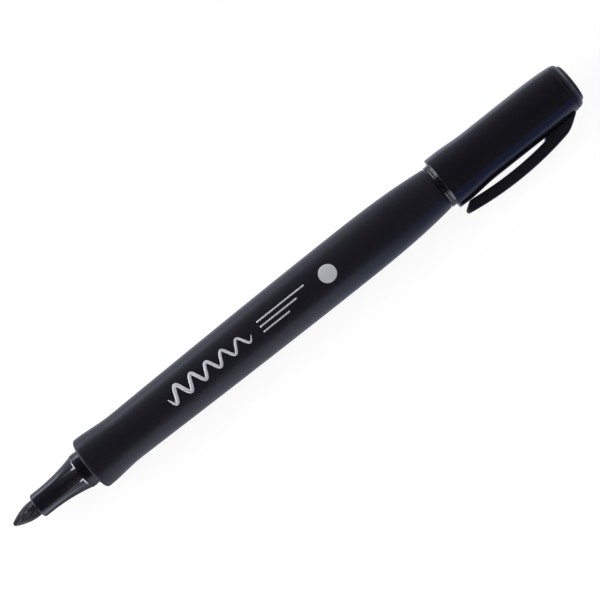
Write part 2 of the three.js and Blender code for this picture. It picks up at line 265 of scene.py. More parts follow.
# %% [markdown]
# ## Helpers for materials
# A finish is more than a colour. Each one gets a colour that wanders a little, a roughness
# that wanders too, and a fine bump. All three come from noise in real-world sizes, so a
# texture of 0.1 mm stays 0.1 mm on every piece. The nodes could be wired by hand in the
# shader editor, but with a few short calls a finish reads like a recipe. The surroundings
# are made of nodes too, so the calls that both need come first.

# %% Node helpers
class NodeRecipe:
    """Short calls for the nodes that finishes and surroundings have in common."""

    def __init__(self, tree, coordinates):
        self.nodes = tree.nodes
        self.links = tree.links
        self.place = self.nodes.new("ShaderNodeTexCoord").outputs[coordinates]

    def between(self, factor, low, high, start=0.3, end=0.7):
        """A number that runs from low to high while the factor runs from start to end."""
        ranged = self.nodes.new("ShaderNodeMapRange")
        values = {"From Min": start, "From Max": end, "To Min": low, "To Max": high}
        for socket, value in values.items():
            ranged.inputs[socket].default_value = value
        self.links.new(factor, ranged.inputs["Value"])
        return ranged.outputs["Result"]

    def counted(self, operation, *numbers):
        """A number worked out from others: their product, maximum and so on."""
        node = self.nodes.new("ShaderNodeMath")
        node.operation = operation
        for number, socket in zip(numbers, node.inputs):
            self.links.new(number, socket)
        return node.outputs[0]

    def measured(self, operation, vector):
        """The place against a fixed vector: how far along it, or how far away from it."""
        node = self.nodes.new("ShaderNodeVectorMath")
        node.operation = operation
        node.inputs[1].default_value = vector
        self.links.new(self.place, node.inputs[0])
        return node.outputs["Value"]

    def ramp(self, factor, *stops):
        """A colour that runs through (position, colour) stops with the factor."""
        node = self.nodes.new("ShaderNodeValToRGB")
        elements = node.color_ramp.elements
        while len(elements) < len(stops):
            elements.new(0.5)
        for element, (position, colour) in zip(elements, stops):
            element.position = position
            element.color = (*colour, 1)
        self.links.new(factor, node.inputs["Fac"])
        return node.outputs["Color"]

    def mixed(self, share, first, second):
        """A shader that turns from the first into the second with the share."""
        mix = self.nodes.new("ShaderNodeMixShader")
        for source, socket in zip((share, first, second), mix.inputs):
            self.links.new(source, socket)
        return mix.outputs[0]


# %% Finish helpers
class Finish(NodeRecipe):
    """A Principled material with short calls for the nodes that feed it."""

    def __init__(self, name):
        self.material = bpy.data.materials.new(name)
        self.material.use_nodes = True
        super().__init__(self.material.node_tree, "Object")
        self.shader = self.nodes["Principled BSDF"]

    def set(self, **sockets):
        """Sets plain values on the shader's own sockets; _ stands for a space."""
        for name, value in sockets.items():
            self.shader.inputs[name.replace("_", " ")].default_value = value

    def stretched(self, along, across):
        """Coordinates that stretch a texture along the marker."""
        mapping = self.nodes.new("ShaderNodeMapping")
        mapping.inputs["Scale"].default_value = (1 / along, 1 / across, 1 / across)
        self.links.new(self.place, mapping.inputs["Vector"])
        return mapping.outputs["Vector"]

    def noise(self, size_mm, detail=3.0, roughness=0.5, vector=None):
        """Noise whose blotches are about size_mm across."""
        texture = self.nodes.new("ShaderNodeTexNoise")
        texture.inputs["Scale"].default_value = 1 / (size_mm * MM)
        texture.inputs["Detail"].default_value = detail
        texture.inputs["Roughness"].default_value = roughness
        self.links.new(vector or self.place, texture.inputs["Vector"])
        return texture.outputs["Fac"]

    def paling(self):
        """The painted highlight that a mesh stores on its points, broken up by fine noise."""
        painted_highlight = self.nodes.new("ShaderNodeAttribute")
        painted_highlight.attribute_name = "painted_highlight"
        broken = self.between(self.noise(0.2), low=0.6, high=1.3)
        return self.counted("MULTIPLY", painted_highlight.outputs["Fac"], broken)

    def colours(self, factor, *stops):
        """The colour of the surface, from (position, colour) stops."""
        self.links.new(self.ramp(factor, *stops), self.shader.inputs["Base Color"])

    def rough(self, factor):
        self.links.new(factor, self.shader.inputs["Roughness"])

    def bumps(self, *layers):
        """Stacks bumps; each layer is (height, depth in mm, strength)."""
        normal = None
        for height, depth, strength in layers:
            bump = self.nodes.new("ShaderNodeBump")
            bump.inputs["Distance"].default_value = depth * MM
            bump.inputs["Strength"].default_value = strength
            self.links.new(height, bump.inputs["Height"])
            if normal:
                self.links.new(normal, bump.inputs["Normal"])
            normal = bump.outputs["Normal"]
        self.links.new(normal, self.shader.inputs["Normal"])


def finish(piece, material, body, slot, *nodes):
    """Gives a piece its material and the body it rides on, and hides the solids it stands for."""
    piece.data.materials.clear()
    piece.data.materials.append(material)
    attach(piece, body)
    if nodes:
        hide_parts(*nodes)


# %% [markdown]
# ## Barrel
# The barrel is one long moulded tube with a thin soft-touch coat. It flares at the front,
# draws in to a waist where the fingers hold it, swells to a belly near the rear and then
# falls away. A few radii and stations with smooth formulas between them describe it. At the
# front a lip narrows the bore, so that the collar of the nib holder just fits through.

# %% Barrel sizes and outline
COLLAR_RADIUS = 4.12
FLARE_RADIUS = 6.13
WAIST_RADIUS = 5.59
BELLY_RADIUS = 6.19
REAR_RADIUS = 5.02
FRONT_CORNER = 0.65
REAR_CORNER = 0.3
WAIST_STATION = 9.5
BELLY_STATION = 68.0
REAR_FALL_POWER = 2.8
BARREL_BORE = 4.5
LIP_BORE = COLLAR_RADIUS + PRESS_GAP
LIP_LENGTH = 1.2
LIP_CHAMFER = 0.16
BARREL_LENGTH = (barrel_rear - barrel_front) / MM


def barrel_radius(station):
    """Outer radius of the barrel behind its front corner."""
    if station < WAIST_STATION:
        share = share_of(station, FRONT_CORNER, WAIST_STATION)
        return blend(FLARE_RADIUS, WAIST_RADIUS, ease(share))
    if station < BELLY_STATION:
        share = share_of(station, WAIST_STATION, BELLY_STATION)
        return blend(WAIST_RADIUS, BELLY_RADIUS, math.sin(math.pi / 2 * share))
    share = share_of(station, BELLY_STATION, BARREL_LENGTH)
    return blend(BELLY_RADIUS, REAR_RADIUS, share ** REAR_FALL_POWER)


def barrel_outline():
    rear_start = BARREL_LENGTH - REAR_CORNER
    rear_centre = barrel_radius(rear_start) - REAR_CORNER
    return [
        *softened([(LIP_BORE, LIP_LENGTH), (LIP_BORE, 0, LIP_CHAMFER), (FLARE_RADIUS, 0)])[1:-1],
        *arc(FLARE_RADIUS - FRONT_CORNER, FRONT_CORNER, FRONT_CORNER, -90, 0, 12),
        *stretch(FRONT_CORNER, WAIST_STATION, 24, barrel_radius)[1:],
        *stretch(WAIST_STATION, BELLY_STATION, 40, barrel_radius)[1:],
        *stretch(BELLY_STATION, rear_start, 30, barrel_radius)[1:],
        *arc(rear_centre, rear_start, REAR_CORNER, 0, 90, 6)[1:],
        (BARREL_BORE, BARREL_LENGTH),
        (BARREL_BORE, LIP_LENGTH),
        (LIP_BORE, LIP_LENGTH),
    ]


barrel = turned("soft_touch_barrel", barrel_outline(), barrel_front, closed=True)

# %% [markdown]
# The coat is a matte black rubbery paint. It turns every reflection into a soft one, so the
# shader is rough, with a very fine grain and faint smears where hands have polished it.

# %% Soft-touch finish
def soft_touch_finish():
    coat = Finish("soft_touch_black")
    coat.set(Roughness=0.38, Specular_IOR_Level=0.5)
    grain = coat.noise(0.09, detail=2)
    smears = coat.noise(7.0, detail=4, roughness=0.6, vector=coat.stretched(3, 1))
    coat.colours(smears, (0.3, (0.0072, 0.0067, 0.0098)), (0.7, (0.0092, 0.0085, 0.012)))
    coat.rough(coat.between(smears, 0.35, 0.42))
    coat.bumps((grain, 0.006, 0.6), (coat.noise(1.1), 0.004, 0.4))
    return coat.material


finish(barrel, soft_touch_finish(), "marker", "soft_touch_black", "barrel")

# %% [markdown]
# ## Print on the barrel
# Such markers carry a silver print. This one is plain: a wavy line as the marker draws it,
# a few fine rules and a dot. Each mark is a very thin raised skin that follows the barrel,
# made from a middle line and a width, so it needs no image.

# %% Printing helpers
INK_THICKNESS = 0.012
INK_ROOT = 0.01


def on_barrel(station, around, height):
    """A point on the barrel; around is measured in mm over its surface, towards the clip."""
    radius = barrel_radius(station)
    angle = math.pi / 2 - around / radius
    return place(barrel_front + station * MM, radius + height, angle)


def printed(build, middle, widths, lanes=2):
    """Adds one mark: a strip along a middle line, which follows the barrel in so many lanes."""
    rings = []
    for index, (here, width) in enumerate(zip(middle, widths)):
        before = middle[max(index - 1, 0)]
        after = middle[min(index + 1, len(middle) - 1)]
        way = (Vector(after) - Vector(before)).normalized()
        side = Vector((-way.y, way.x)) * width / 2
        across = [Vector(here) + side * share for share in spaced(1, -1, lanes)]
        top = [on_barrel(*point, INK_THICKNESS) for point in across]
        root = [on_barrel(*point, -INK_ROOT) for point in reversed(across)]
        rings.append([build.verts.new(point) for point in top + root])
    for near, far in zip(rings, rings[1:]):
        bridge(build, near, far)
    build.faces.new(rings[0])
    build.faces.new(rings[-1])


# %% The printed marks
WAVE_START = 22.0
WAVE_END = 44.0
WAVE_COUNT = 5.5
WAVE_STEPS = 220
WAVE_HEIGHT = 1.75
WAVE_HEIGHT_LOST = 0.35
WAVE_MIDDLE = -0.35
STROKE_WIDTH = 0.85
STROKE_WIDTH_LOST = 0.35
PRESS_AT_END = 0.25
PRESS_GAIN = 14
RULE_START = 46.5
RULE_ENDS = (59.0, 56.2, 53.4)
RULE_GAP = 1.25
RULE_WIDTH = 0.34
RULE_STEPS = 24
DOT_STATION = 64.4
DOT_RADIUS = 2.0
DOT_STEPS = 28
DOT_LANES = 12


def wave_mark(build):
    """A wavy line that gets lower and thinner, and is pressed less at both ends."""
    middle = []
    widths = []
    for share in spaced(0, 1, WAVE_STEPS):
        height = WAVE_HEIGHT * (1 - WAVE_HEIGHT_LOST * share)
        swing = math.sin(2 * math.pi * WAVE_COUNT * share) * height
        middle.append((blend(WAVE_START, WAVE_END, share), WAVE_MIDDLE + swing))
        pressed = min(1, PRESS_AT_END + PRESS_GAIN * min(share, 1 - share))
        widths.append((STROKE_WIDTH - STROKE_WIDTH_LOST * share) * pressed)
    printed(build, middle, widths)


def rule_marks(build):
    """Three straight rules side by side, one shorter than the next."""
    for row, end in enumerate(RULE_ENDS):
        around = WAVE_MIDDLE + (row - 1) * RULE_GAP
        middle = [(station, around) for station in spaced(RULE_START, end, RULE_STEPS)]
        printed(build, middle, [RULE_WIDTH] * len(middle))


def dot_mark(build):
    """A round dot: a straight strip whose width swells and shrinks again."""
    middle = []
    widths = []
    for angle in spaced(0, math.pi, DOT_STEPS)[1:-1]:
        middle.append((DOT_STATION - DOT_RADIUS * math.cos(angle), WAVE_MIDDLE))
        widths.append(2 * DOT_RADIUS * math.sin(angle))
    printed(build, middle, widths, DOT_LANES)


print_build = bmesh.new()
wave_mark(print_build)
rule_marks(print_build)
dot_mark(print_build)
silver_print = new_piece("silver_print", print_build)

# %% [markdown]
# Silver ink is a clear binder full of fine metal flakes. It is half metallic and not very
# shiny, with a grain as fine as the flakes.

# %% Silver ink finish
def silver_ink_finish():
    ink = Finish("silver_ink")
    ink.set(Metallic=0.35, Roughness=0.42)
    flakes = ink.noise(0.06, detail=2)
    ink.colours(flakes, (0.35, (0.5, 0.5, 0.51)), (0.65, (0.66, 0.66, 0.67)))
    ink.rough(ink.between(ink.noise(0.8), 0.36, 0.5))
    ink.bumps((flakes, 0.004, 0.4))
    return ink.material


finish(silver_print, silver_ink_finish(), "marker", "soft_touch_black")

# %% [markdown]
# ## Nib holder
# The holder is a glossy tube that flares towards the barrel. Two lands, one towards the viewer
# and one below, rise out of the flare and run into a ring; the shallow recesses lie between
# them. Cutting them with booleans would leave ragged edges, so each cross-section is drawn
# point by point: land, edge of the land and recess in one quarter, mirrored three times.

# %% Nib holder sizes
HOLDER_REACH = (barrel_front - holder_front) / MM
HOLDER_LENGTH = (holder_rear - holder_front) / MM
HOLDER_FRONT_RADIUS = 2.83
HOLDER_FRONT_CORNER = 0.5
HOLDER_TUBE_LENGTH = 1.4
FLARE_END_RADIUS = 4.05
LAND_WIDTH = 3.06
LAND_RISE = 0.11
RECESS_LENGTH = 5.5
RING_RADIUS = FLARE_END_RADIUS + LAND_RISE
RING_LENGTH = 0.5
GROOVE_WIDTH = 0.17
GROOVE_DEPTH = 0.12
BEAD_RADIUS = 4.19
BEAD_LENGTH = 0.35
COLLAR_LENGTH = 1.73
NIB_RADIUS = 1.92
HOLDER_NIB_BORE = NIB_RADIUS + PRESS_GAP
SKIRT_RADIUS = BARREL_BORE - PRESS_GAP
SKIRT_BORE = 3.6
HUB_LENGTH = 3.5
SHOULDER_STATION = HOLDER_REACH + LIP_LENGTH + SEAM
HUB_STATION = SHOULDER_STATION + HUB_LENGTH
FLARE_FRONT = HOLDER_FRONT_CORNER + HOLDER_TUBE_LENGTH
GROOVE_REAR = HOLDER_REACH - COLLAR_LENGTH
GROOVE_FRONT = GROOVE_REAR - GROOVE_WIDTH
RECESS_REAR = GROOVE_FRONT - RING_LENGTH
RECESS_FRONT = RECESS_REAR - RECESS_LENGTH
EDGE_BAND = 0.11
WALL_ROUND = 0.09
HIGHLIGHT_EDGE_WIDTH = 0.22
print("holder reaches", round(HOLDER_REACH, 2), "mm out of the barrel")

# %% Nib holder cross-sections
LAND_STEPS = 14
EDGE_STEPS = 8
RECESS_STEPS = 30


def on_circle(radius, angle):
    """A point (side, up) at an angle from the middle of a land."""
    return Vector((radius * math.sin(angle), radius * math.cos(angle)))


def holder_quarter(land, recess):
    """Points (side, up) from the middle of a land to the middle of a recess."""
    land_edge = math.asin(LAND_WIDTH / 2 / land)
    recess_edge = math.asin(LAND_WIDTH / 2 / recess)
    land_end = land_edge - EDGE_BAND / land
    recess_start = recess_edge + EDGE_BAND / recess
    corners = [
        on_circle(land, land_end),
        on_circle(land, land_edge),
        on_circle(recess, recess_edge),
        on_circle(recess, recess_start),
    ]
    on_land = [on_circle(land, angle) for angle in spaced(0, land_end, LAND_STEPS)]
    on_edge = [curved(corners, share) for share in spaced(0, 1, EDGE_STEPS)]
    floor_angles = spaced(recess_start, math.pi / 2, RECESS_STEPS)
    return on_land[:-1] + on_edge[:-1] + [on_circle(recess, angle) for angle in floor_angles]


def holder_ring(station, land, recess=None):
    """One cross-section of the holder all round the axis; side points at the clip."""
    quarter = holder_quarter(land, recess or land)
    half = quarter + [Vector((side, -up)) for side, up in reversed(quarter[:-1])]
    whole = half + [Vector((-side, up)) for side, up in reversed(half[1:-1])]
    return [from_axis(holder_front + station * MM, side, up) for side, up in whole]


# %% [markdown]
# Along the holder the cross-section changes in three ways. The floor of the recesses follows
# the flare, the lands rise over it little by little, and at the ring a steep wall with
# rounded edges closes the recesses.

# %% Recesses
RISE_STEPS = 40
RISE_CROWDING = 1.5
WALL_STEPS = 10


def flare_radius(station):
    """Radius of the flare, which widens ever faster behind the front tube."""
    share = share_of(station, FLARE_FRONT, RECESS_REAR)
    return blend(HOLDER_FRONT_RADIUS, FLARE_END_RADIUS, share ** 2)


def recess_rings():
    """The cross-sections of the recesses, closer together towards the wall that ends them."""
    rings = []
    for left in spaced(1, 0, RISE_STEPS)[1:]:
        share = 1 - left ** RISE_CROWDING
        station = RECESS_FRONT + (RECESS_LENGTH - WALL_ROUND) * share
        recess = flare_radius(station)
        land = recess + LAND_RISE * (station - RECESS_FRONT) / RECESS_LENGTH
        rings.append(holder_ring(station, land, recess))
    floor = flare_radius(RECESS_REAR)
    corners = [
        Vector((floor, RECESS_REAR - WALL_ROUND)),
        Vector((floor, RECESS_REAR)),
        Vector((RING_RADIUS, RECESS_REAR)),
        Vector((RING_RADIUS, RECESS_REAR + WALL_ROUND)),
    ]
    for share in spaced(0, 1, WALL_STEPS)[1:]:
        recess, station = curved(corners, share)
        rings.append(holder_ring(station, RING_RADIUS, recess))
    return rings


# %% Nib holder mesh
MOUTH_ROUND = 0.08
RING_ROUND = 0.05
BEAD_ROUND = 0.06
STEP_ROUND = 0.03


def holder_rings():
    front = softened([
        (HOLDER_NIB_BORE, HUB_STATION),
        (HOLDER_NIB_BORE, 0, MOUTH_ROUND),
        (HOLDER_FRONT_RADIUS, 0, HOLDER_FRONT_CORNER),
        (HOLDER_FRONT_RADIUS, FLARE_FRONT),
    ], steps=6)[1:]
    front += stretch(FLARE_FRONT, RECESS_FRONT, 12, flare_radius)[1:]
    groove_radius = COLLAR_RADIUS - GROOVE_DEPTH
    rear = softened([
        (RING_RADIUS, RECESS_REAR + HIGHLIGHT_EDGE_WIDTH / 2),
        (RING_RADIUS, RECESS_REAR + HIGHLIGHT_EDGE_WIDTH),
        (RING_RADIUS, GROOVE_FRONT, RING_ROUND),
        (groove_radius, GROOVE_FRONT, STEP_ROUND),
        (groove_radius, GROOVE_REAR, STEP_ROUND),
        (BEAD_RADIUS, GROOVE_REAR, BEAD_ROUND),
        (BEAD_RADIUS, GROOVE_REAR + BEAD_LENGTH, STEP_ROUND),
        (COLLAR_RADIUS, GROOVE_REAR + BEAD_LENGTH, STEP_ROUND),
        (COLLAR_RADIUS, SHOULDER_STATION),
        (SKIRT_RADIUS, SHOULDER_STATION),
        (SKIRT_RADIUS, HOLDER_LENGTH),
        (SKIRT_BORE, HOLDER_LENGTH),
        (SKIRT_BORE, HUB_STATION),
        (HOLDER_NIB_BORE, HUB_STATION),
    ])
    before = [holder_ring(station, radius) for radius, station in front]
    behind = [holder_ring(station, radius) for radius, station in rear]
    return before + recess_rings() + behind


nib_holder = lofted("glossy_nib_holder", holder_rings(), closed=True)
keep_sharp(nib_holder, degrees=50)

# %% [markdown]
# The corners where a land meets the ring get a painted highlight: they show as pale angles.
# The painted highlight is stored as a number on the points of the mesh on the viewer's side,
# strongest on those edges and gone a millimetre away, so that the material can mix in a paler
# colour there.

# %% Corners with a painted highlight
LAND_HIGHLIGHT_LENGTH = 1.2
RING_HIGHLIGHT_LENGTH = 1.75
FAINT_HIGHLIGHT = 0.12
HOLDER_HIGHLIGHT_STRENGTH = 0.85


def fading(distance, reach):
    """1 up to half of a reach, and from there down to 0 at its end."""
    return max(0, min(1, 2 - 2 * abs(distance) / reach))


def holder_highlight(side, station):
    """How strong the painted highlight is at a point of the holder, from 0 to 1."""
    from_land = abs(side) - LAND_WIDTH / 2
    ahead = RECESS_REAR - station
    if ahead < -HIGHLIGHT_EDGE_WIDTH or from_land < -HIGHLIGHT_EDGE_WIDTH:
        return 0
    along_land = max(fading(ahead, LAND_HIGHLIGHT_LENGTH), FAINT_HIGHLIGHT * fading(ahead, RECESS_LENGTH))
    on_land_edge = fading(from_land, HIGHLIGHT_EDGE_WIDTH) * along_land
    on_ring_edge = fading(ahead, HIGHLIGHT_EDGE_WIDTH) * fading(from_land, RING_HIGHLIGHT_LENGTH)
    return HOLDER_HIGHLIGHT_STRENGTH * max(on_land_edge, on_ring_edge)


def store_painted_highlight(piece, front, highlight_at):
    """Stores a painted highlight from 0 to 1 on every point that is on the viewer's side."""
    painted_highlight = piece.data.attributes.new("painted_highlight", "FLOAT", "POINT")
    for vertex, value in zip(piece.data.vertices, painted_highlight.data):
        offset = vertex.co - AXIS_POINT
        if offset.dot(FACE_WAY) > 0:
            station = (vertex.co.x - front) / MM
            value.value = highlight_at(offset.dot(CLIP_WAY) / MM, station)


store_painted_highlight(nib_holder, holder_front, holder_highlight)

# %% [markdown]
# The holder is bare injection-moulded plastic, so it is smoother than the barrel. A faint
# waviness and hair-fine handling scratches keep its highlights from looking computed.

# %% Moulded black finishes
# A pale colour mixed in as a painted highlight where a mesh stores one.
PAINTED_HIGHLIGHT_COLOUR = (0.6, 0.6, 0.63)
DUST_GAIN = 1.35
DUST_LIFT = 0.0006
DUST_SHARE = 0.2
GLOSS_SPREAD = (0.85, 1.25)


def moulded_finish(name, colour, roughness, scratch_depth, wave_depth, level=0.5):
    """Dark moulded plastic: a slow waviness, fine scratches, a trace of dust and a painted
    highlight on edges.
    """
    gloss = Finish(name)
    gloss.set(Roughness=roughness, Specular_IOR_Level=level)
    waves = gloss.noise(2.4, detail=1)
    scratches = gloss.noise(0.12, detail=4, roughness=0.7, vector=gloss.stretched(9, 1))
    dust = gloss.noise(0.5, detail=5, roughness=0.65)
    lighter = tuple(part * DUST_GAIN + DUST_LIFT for part in colour)
    dusty = gloss.between(dust, 0, DUST_SHARE, start=0.45, end=0.8)
    # Random dust and the stored painted highlight both make the colour paler.
    paling = gloss.counted("MAXIMUM", gloss.paling(), dusty)
    gloss.colours(paling, (0, colour), (DUST_SHARE, lighter), (1, PAINTED_HIGHLIGHT_COLOUR))
    gloss.rough(gloss.between(dust, *(roughness * change for change in GLOSS_SPREAD)))
    gloss.bumps((waves, wave_depth, 0.5), (scratches, scratch_depth, 0.5))
    return gloss.material


holder_black = moulded_finish(
    "holder_gloss_black",
    (0.006, 0.0056, 0.0078),
    roughness=0.17,
    scratch_depth=0.003,
    wave_depth=0.01,
    level=0.8,
)
finish(nib_holder, holder_black, "marker", "gloss_black", "nib_holder")

# %% [markdown]
# ## Nib
# The nib is a rod of pressed fibres ground to a blunt point. The point is a power curve
# that meets the rod without a kink. Small dents from a noise that is stretched along the rod
# break up the outline as felt does.

# %% Nib
NIB_LENGTH = (nib_rear - nib_tip) / MM
NIB_POINT_LENGTH = 4.95
NIB_POINT_POWER = 1.64
NIB_TIP_RADIUS = 0.6
NIB_TIP_TURN = 64
NIB_SMOOTH_END = 9.0
NIB_TAPER = 1.6
FELT_DENT = 0.022
FELT_FIBRE_LENGTH = 0.9
FELT_FIBRE_WIDTH = 0.16


def nib_outline():
    tip = arc(0, NIB_TIP_RADIUS, NIB_TIP_RADIUS, -90, NIB_TIP_TURN - 90, 8)
    tip_radius, tip_station = tip[-1]

    def point_radius(station):
        share = share_of(station, NIB_POINT_LENGTH, tip_station)
        return blend(NIB_RADIUS, tip_radius, share ** NIB_POINT_POWER)

    return [
        *tip,
        *stretch(tip_station, NIB_POINT_LENGTH, 48, point_radius)[1:],
        *stretch(NIB_POINT_LENGTH, NIB_SMOOTH_END, 20, lambda station: NIB_RADIUS)[1:],
        (NIB_RADIUS, NIB_LENGTH - NIB_TAPER),
        (NIB_RADIUS / 2, NIB_LENGTH),
        (0, NIB_LENGTH),
    ]


def roughen_felt(piece):
    """Pushes the surface in by up to FELT_DENT, after a noise stretched along the rod."""
    for vertex in piece.data.vertices:
        offset = vertex.co - AXIS_POINT
        around = Vector((0, offset.y, offset.z))
        place_mm = vertex.co / MM
        point = Vector((
            place_mm.x / FELT_FIBRE_LENGTH,
            place_mm.y / FELT_FIBRE_WIDTH,
            place_mm.z / FELT_FIBRE_WIDTH,
        ))
        dent = (noise.noise(point) - 1) / 2 * FELT_DENT * MM
        if around.length > POLE_RADIUS * MM:
            vertex.co += around.normalized() * dent


felt_nib = turned("felt_nib", nib_outline(), nib_tip, closed=False)
roughen_felt(felt_nib)


def felt_finish():
    felt = Finish("inked_felt")
    felt.set(Roughness=0.9, Specular_IOR_Level=0.3, Sheen_Weight=0.2, Sheen_Roughness=0.5)
    fibres = felt.noise(0.14, detail=4, roughness=0.7, vector=felt.stretched(5, 1))
    mottle = felt.noise(0.5, detail=3, roughness=0.6, vector=felt.stretched(3.5, 1))
    felt.colours(
        mottle,
        (0.42, (0.005, 0.0047, 0.0065)),
        (0.55, (0.014, 0.013, 0.0165)),
        (0.68, (0.1, 0.095, 0.11)),
    )
    felt.rough(felt.between(fibres, 0.75, 1.0))
    felt.bumps((mottle, 0.05, 0.6), (fibres, 0.06, 0.9))
    return felt.material


finish(felt_nib, felt_finish(), "marker", "inked_felt", "nib")

# %% [markdown]
# ## Tail plug
# The plug closes the barrel. Its grooved flange is what shows between the barrel and the
# cap, and its spigot carries the cap. It shows in full once the cap is pulled off. A pale
# line round the flange and the groove's edges carry a painted highlight on both flanks.

# %% Tail plug
FLANGE_RADIUS = 5.18
FLANGE_LENGTH = 1.75
FLANGE_FRONT = (barrel_rear - plug_front) / MM + SEAM
FLANGE_REAR = FLANGE_FRONT + FLANGE_LENGTH
FLANGE_GROOVE_WIDTH = 0.24
FLANGE_GROOVE_DEPTH = 0.14
FLANGE_GROOVE_SETBACK = 0.34
FLANGE_GROOVE_MIDDLE = FLANGE_FRONT + FLANGE_GROOVE_SETBACK
FLANGE_FRONT_ROUND = 0.08
FLANGE_REAR_ROUND = 0.12
GROOVE_EDGE_ROUND = 0.06
GROOVE_FLOOR_ROUND = 0.02
SKIRT_ROUND = 0.15
SPIGOT_ROOT_ROUND = 0.1
SPIGOT_RADIUS = 4.13
SPIGOT_CORNER = 0.6
PLUG_WALL = 0.9
# A painted highlight line round the flange, and a painted highlight on the groove's edges.
HIGHLIGHT_LINE_SETBACK = 0.95
HIGHLIGHT_LINE_MIDDLE = FLANGE_FRONT + HIGHLIGHT_LINE_SETBACK
HIGHLIGHT_LINE_WIDTH = 0.22
FLANGE_HIGHLIGHT = 0.5
LIT_FLANK_SIDE = 3.1
LIT_FLANK_REACH = 1.75


def on_lit_flanks(side):
    """The painted highlights lie on both flanks, and fade out towards the middle and the outline.
    """
    return fading(abs(side) - LIT_FLANK_SIDE, LIT_FLANK_REACH)


def flange_highlight(side, station):
    """How strong the painted highlight is at a point of the flange, from 0 to 1."""
    in_groove = fading(station - FLANGE_GROOVE_MIDDLE, FLANGE_GROOVE_WIDTH)
    on_highlight_line = fading(station - HIGHLIGHT_LINE_MIDDLE, HIGHLIGHT_LINE_WIDTH)
    return FLANGE_HIGHLIGHT * max(in_groove, on_highlight_line) * on_lit_flanks(side)


def tail_plug_outline():
    groove_floor = FLANGE_RADIUS - FLANGE_GROOVE_DEPTH
    groove_front = FLANGE_GROOVE_MIDDLE - FLANGE_GROOVE_WIDTH / 2
    groove_rear = FLANGE_GROOVE_MIDDLE + FLANGE_GROOVE_WIDTH / 2
    highlight_line_band = spaced(HIGHLIGHT_LINE_MIDDLE - HIGHLIGHT_LINE_WIDTH, HIGHLIGHT_LINE_MIDDLE + HIGHLIGHT_LINE_WIDTH, 4)
    end = (spigot_end - plug_front) / MM
    return softened([
        (0, end - PLUG_WALL),
        (SPIGOT_RADIUS - PLUG_WALL, end - PLUG_WALL),
        (SPIGOT_RADIUS - PLUG_WALL, 0),
        (SKIRT_RADIUS, 0, SKIRT_ROUND),
        (SKIRT_RADIUS, FLANGE_FRONT),
        (FLANGE_RADIUS, FLANGE_FRONT, FLANGE_FRONT_ROUND),
        (FLANGE_RADIUS, groove_front, GROOVE_EDGE_ROUND),
        (groove_floor, FLANGE_GROOVE_MIDDLE, GROOVE_FLOOR_ROUND),
        (FLANGE_RADIUS, groove_rear, GROOVE_EDGE_ROUND),
        *[(FLANGE_RADIUS, station) for station in highlight_line_band],
        (FLANGE_RADIUS, FLANGE_REAR, FLANGE_REAR_ROUND),
        (SPIGOT_RADIUS, FLANGE_REAR, SPIGOT_ROOT_ROUND),
        (SPIGOT_RADIUS, end, SPIGOT_CORNER),
        (0, end),
    ])


tail_plug = turned("grooved_tail_plug", tail_plug_outline(), plug_front, closed=False)
store_painted_highlight(tail_plug, plug_front, flange_highlight)
plug_black = moulded_finish(
    "plug_gloss_black",
    (0.006, 0.006, 0.007),
    roughness=0.24,
    scratch_depth=0.003,
    wave_depth=0.006,
)
finish(tail_plug, plug_black, "marker", "gloss_black", "tail_plug")

# %% [markdown]
# ## Cap shell
# The cap is a glossy tube with a thicker lip at its mouth, with a painted highlight on the lip's
# edge.
# Behind the lip it eases down to an even tube, and it narrows again over its last few
# millimetres.

# %% Cap shell sizes and outline
LIP_RADIUS = 6.27
CAP_LIP_LENGTH = 2.4
LIP_CORNER = 0.3
# The lip's edge carries a painted highlight.
LIP_HIGHLIGHT_REACH = 0.2
LIP_HIGHLIGHT = 0.36
CAP_RADIUS = 5.89
CAP_EASE_LENGTH = 7.7
CAP_FALL_LENGTH = 8.0
CAP_END_RADIUS = 5.53
CAP_END_STRETCH = 0.3
CAP_END_ROUND = 0.1
CAP_SEAT_ROUND = 0.08
CAP_MOUTH_ROUND = 0.12
CAP_BORE = 4.75
CAP_MOUTH_BORE = 5.3
CAP_LENGTH = (cap_shell_end - cap_mouth) / MM
EASE_END = CAP_LIP_LENGTH + CAP_EASE_LENGTH
FALL_START = CAP_LENGTH - CAP_FALL_LENGTH
CUP_RIM_LENGTH = 1.5
RIM_SEAT = (cup_mouth - cap_mouth) / MM + CUP_RIM_LENGTH + PRESS_GAP


def cap_radius(station):
    """Outer radius of the cap behind its lip."""
    if station < EASE_END:
        share = share_of(station, CAP_LIP_LENGTH, EASE_END)
        return blend(LIP_RADIUS, CAP_RADIUS, ease(share))
    if station < FALL_START:
        return CAP_RADIUS
    share = share_of(station, FALL_START, CAP_LENGTH)
    return blend(CAP_RADIUS, CAP_END_RADIUS, share ** 2)


def cap_outline():
    last = CAP_LENGTH - CAP_END_STRETCH
    end = softened([
        (cap_radius(last), last),
        (cap_radius(CAP_LENGTH), CAP_LENGTH, CAP_END_ROUND),
        (CAP_BORE, CAP_LENGTH, CAP_SEAT_ROUND),
        (CAP_BORE, RIM_SEAT),
        (CAP_MOUTH_BORE, RIM_SEAT),
        (CAP_MOUTH_BORE, 0, CAP_MOUTH_ROUND),
        (LIP_RADIUS - LIP_CORNER, 0),
    ])
    return [
        *arc(LIP_RADIUS - LIP_CORNER, LIP_CORNER, LIP_CORNER, -90, 0),
        (LIP_RADIUS, LIP_CORNER + LIP_HIGHLIGHT_REACH / 2),
        (LIP_RADIUS, LIP_CORNER + LIP_HIGHLIGHT_REACH),
        *stretch(CAP_LIP_LENGTH, EASE_END, 20, cap_radius),
        *stretch(EASE_END, FALL_START, 10, cap_radius)[1:],
        *stretch(FALL_START, last, 14, cap_radius)[1:-1],
        *end[:-1],
    ]


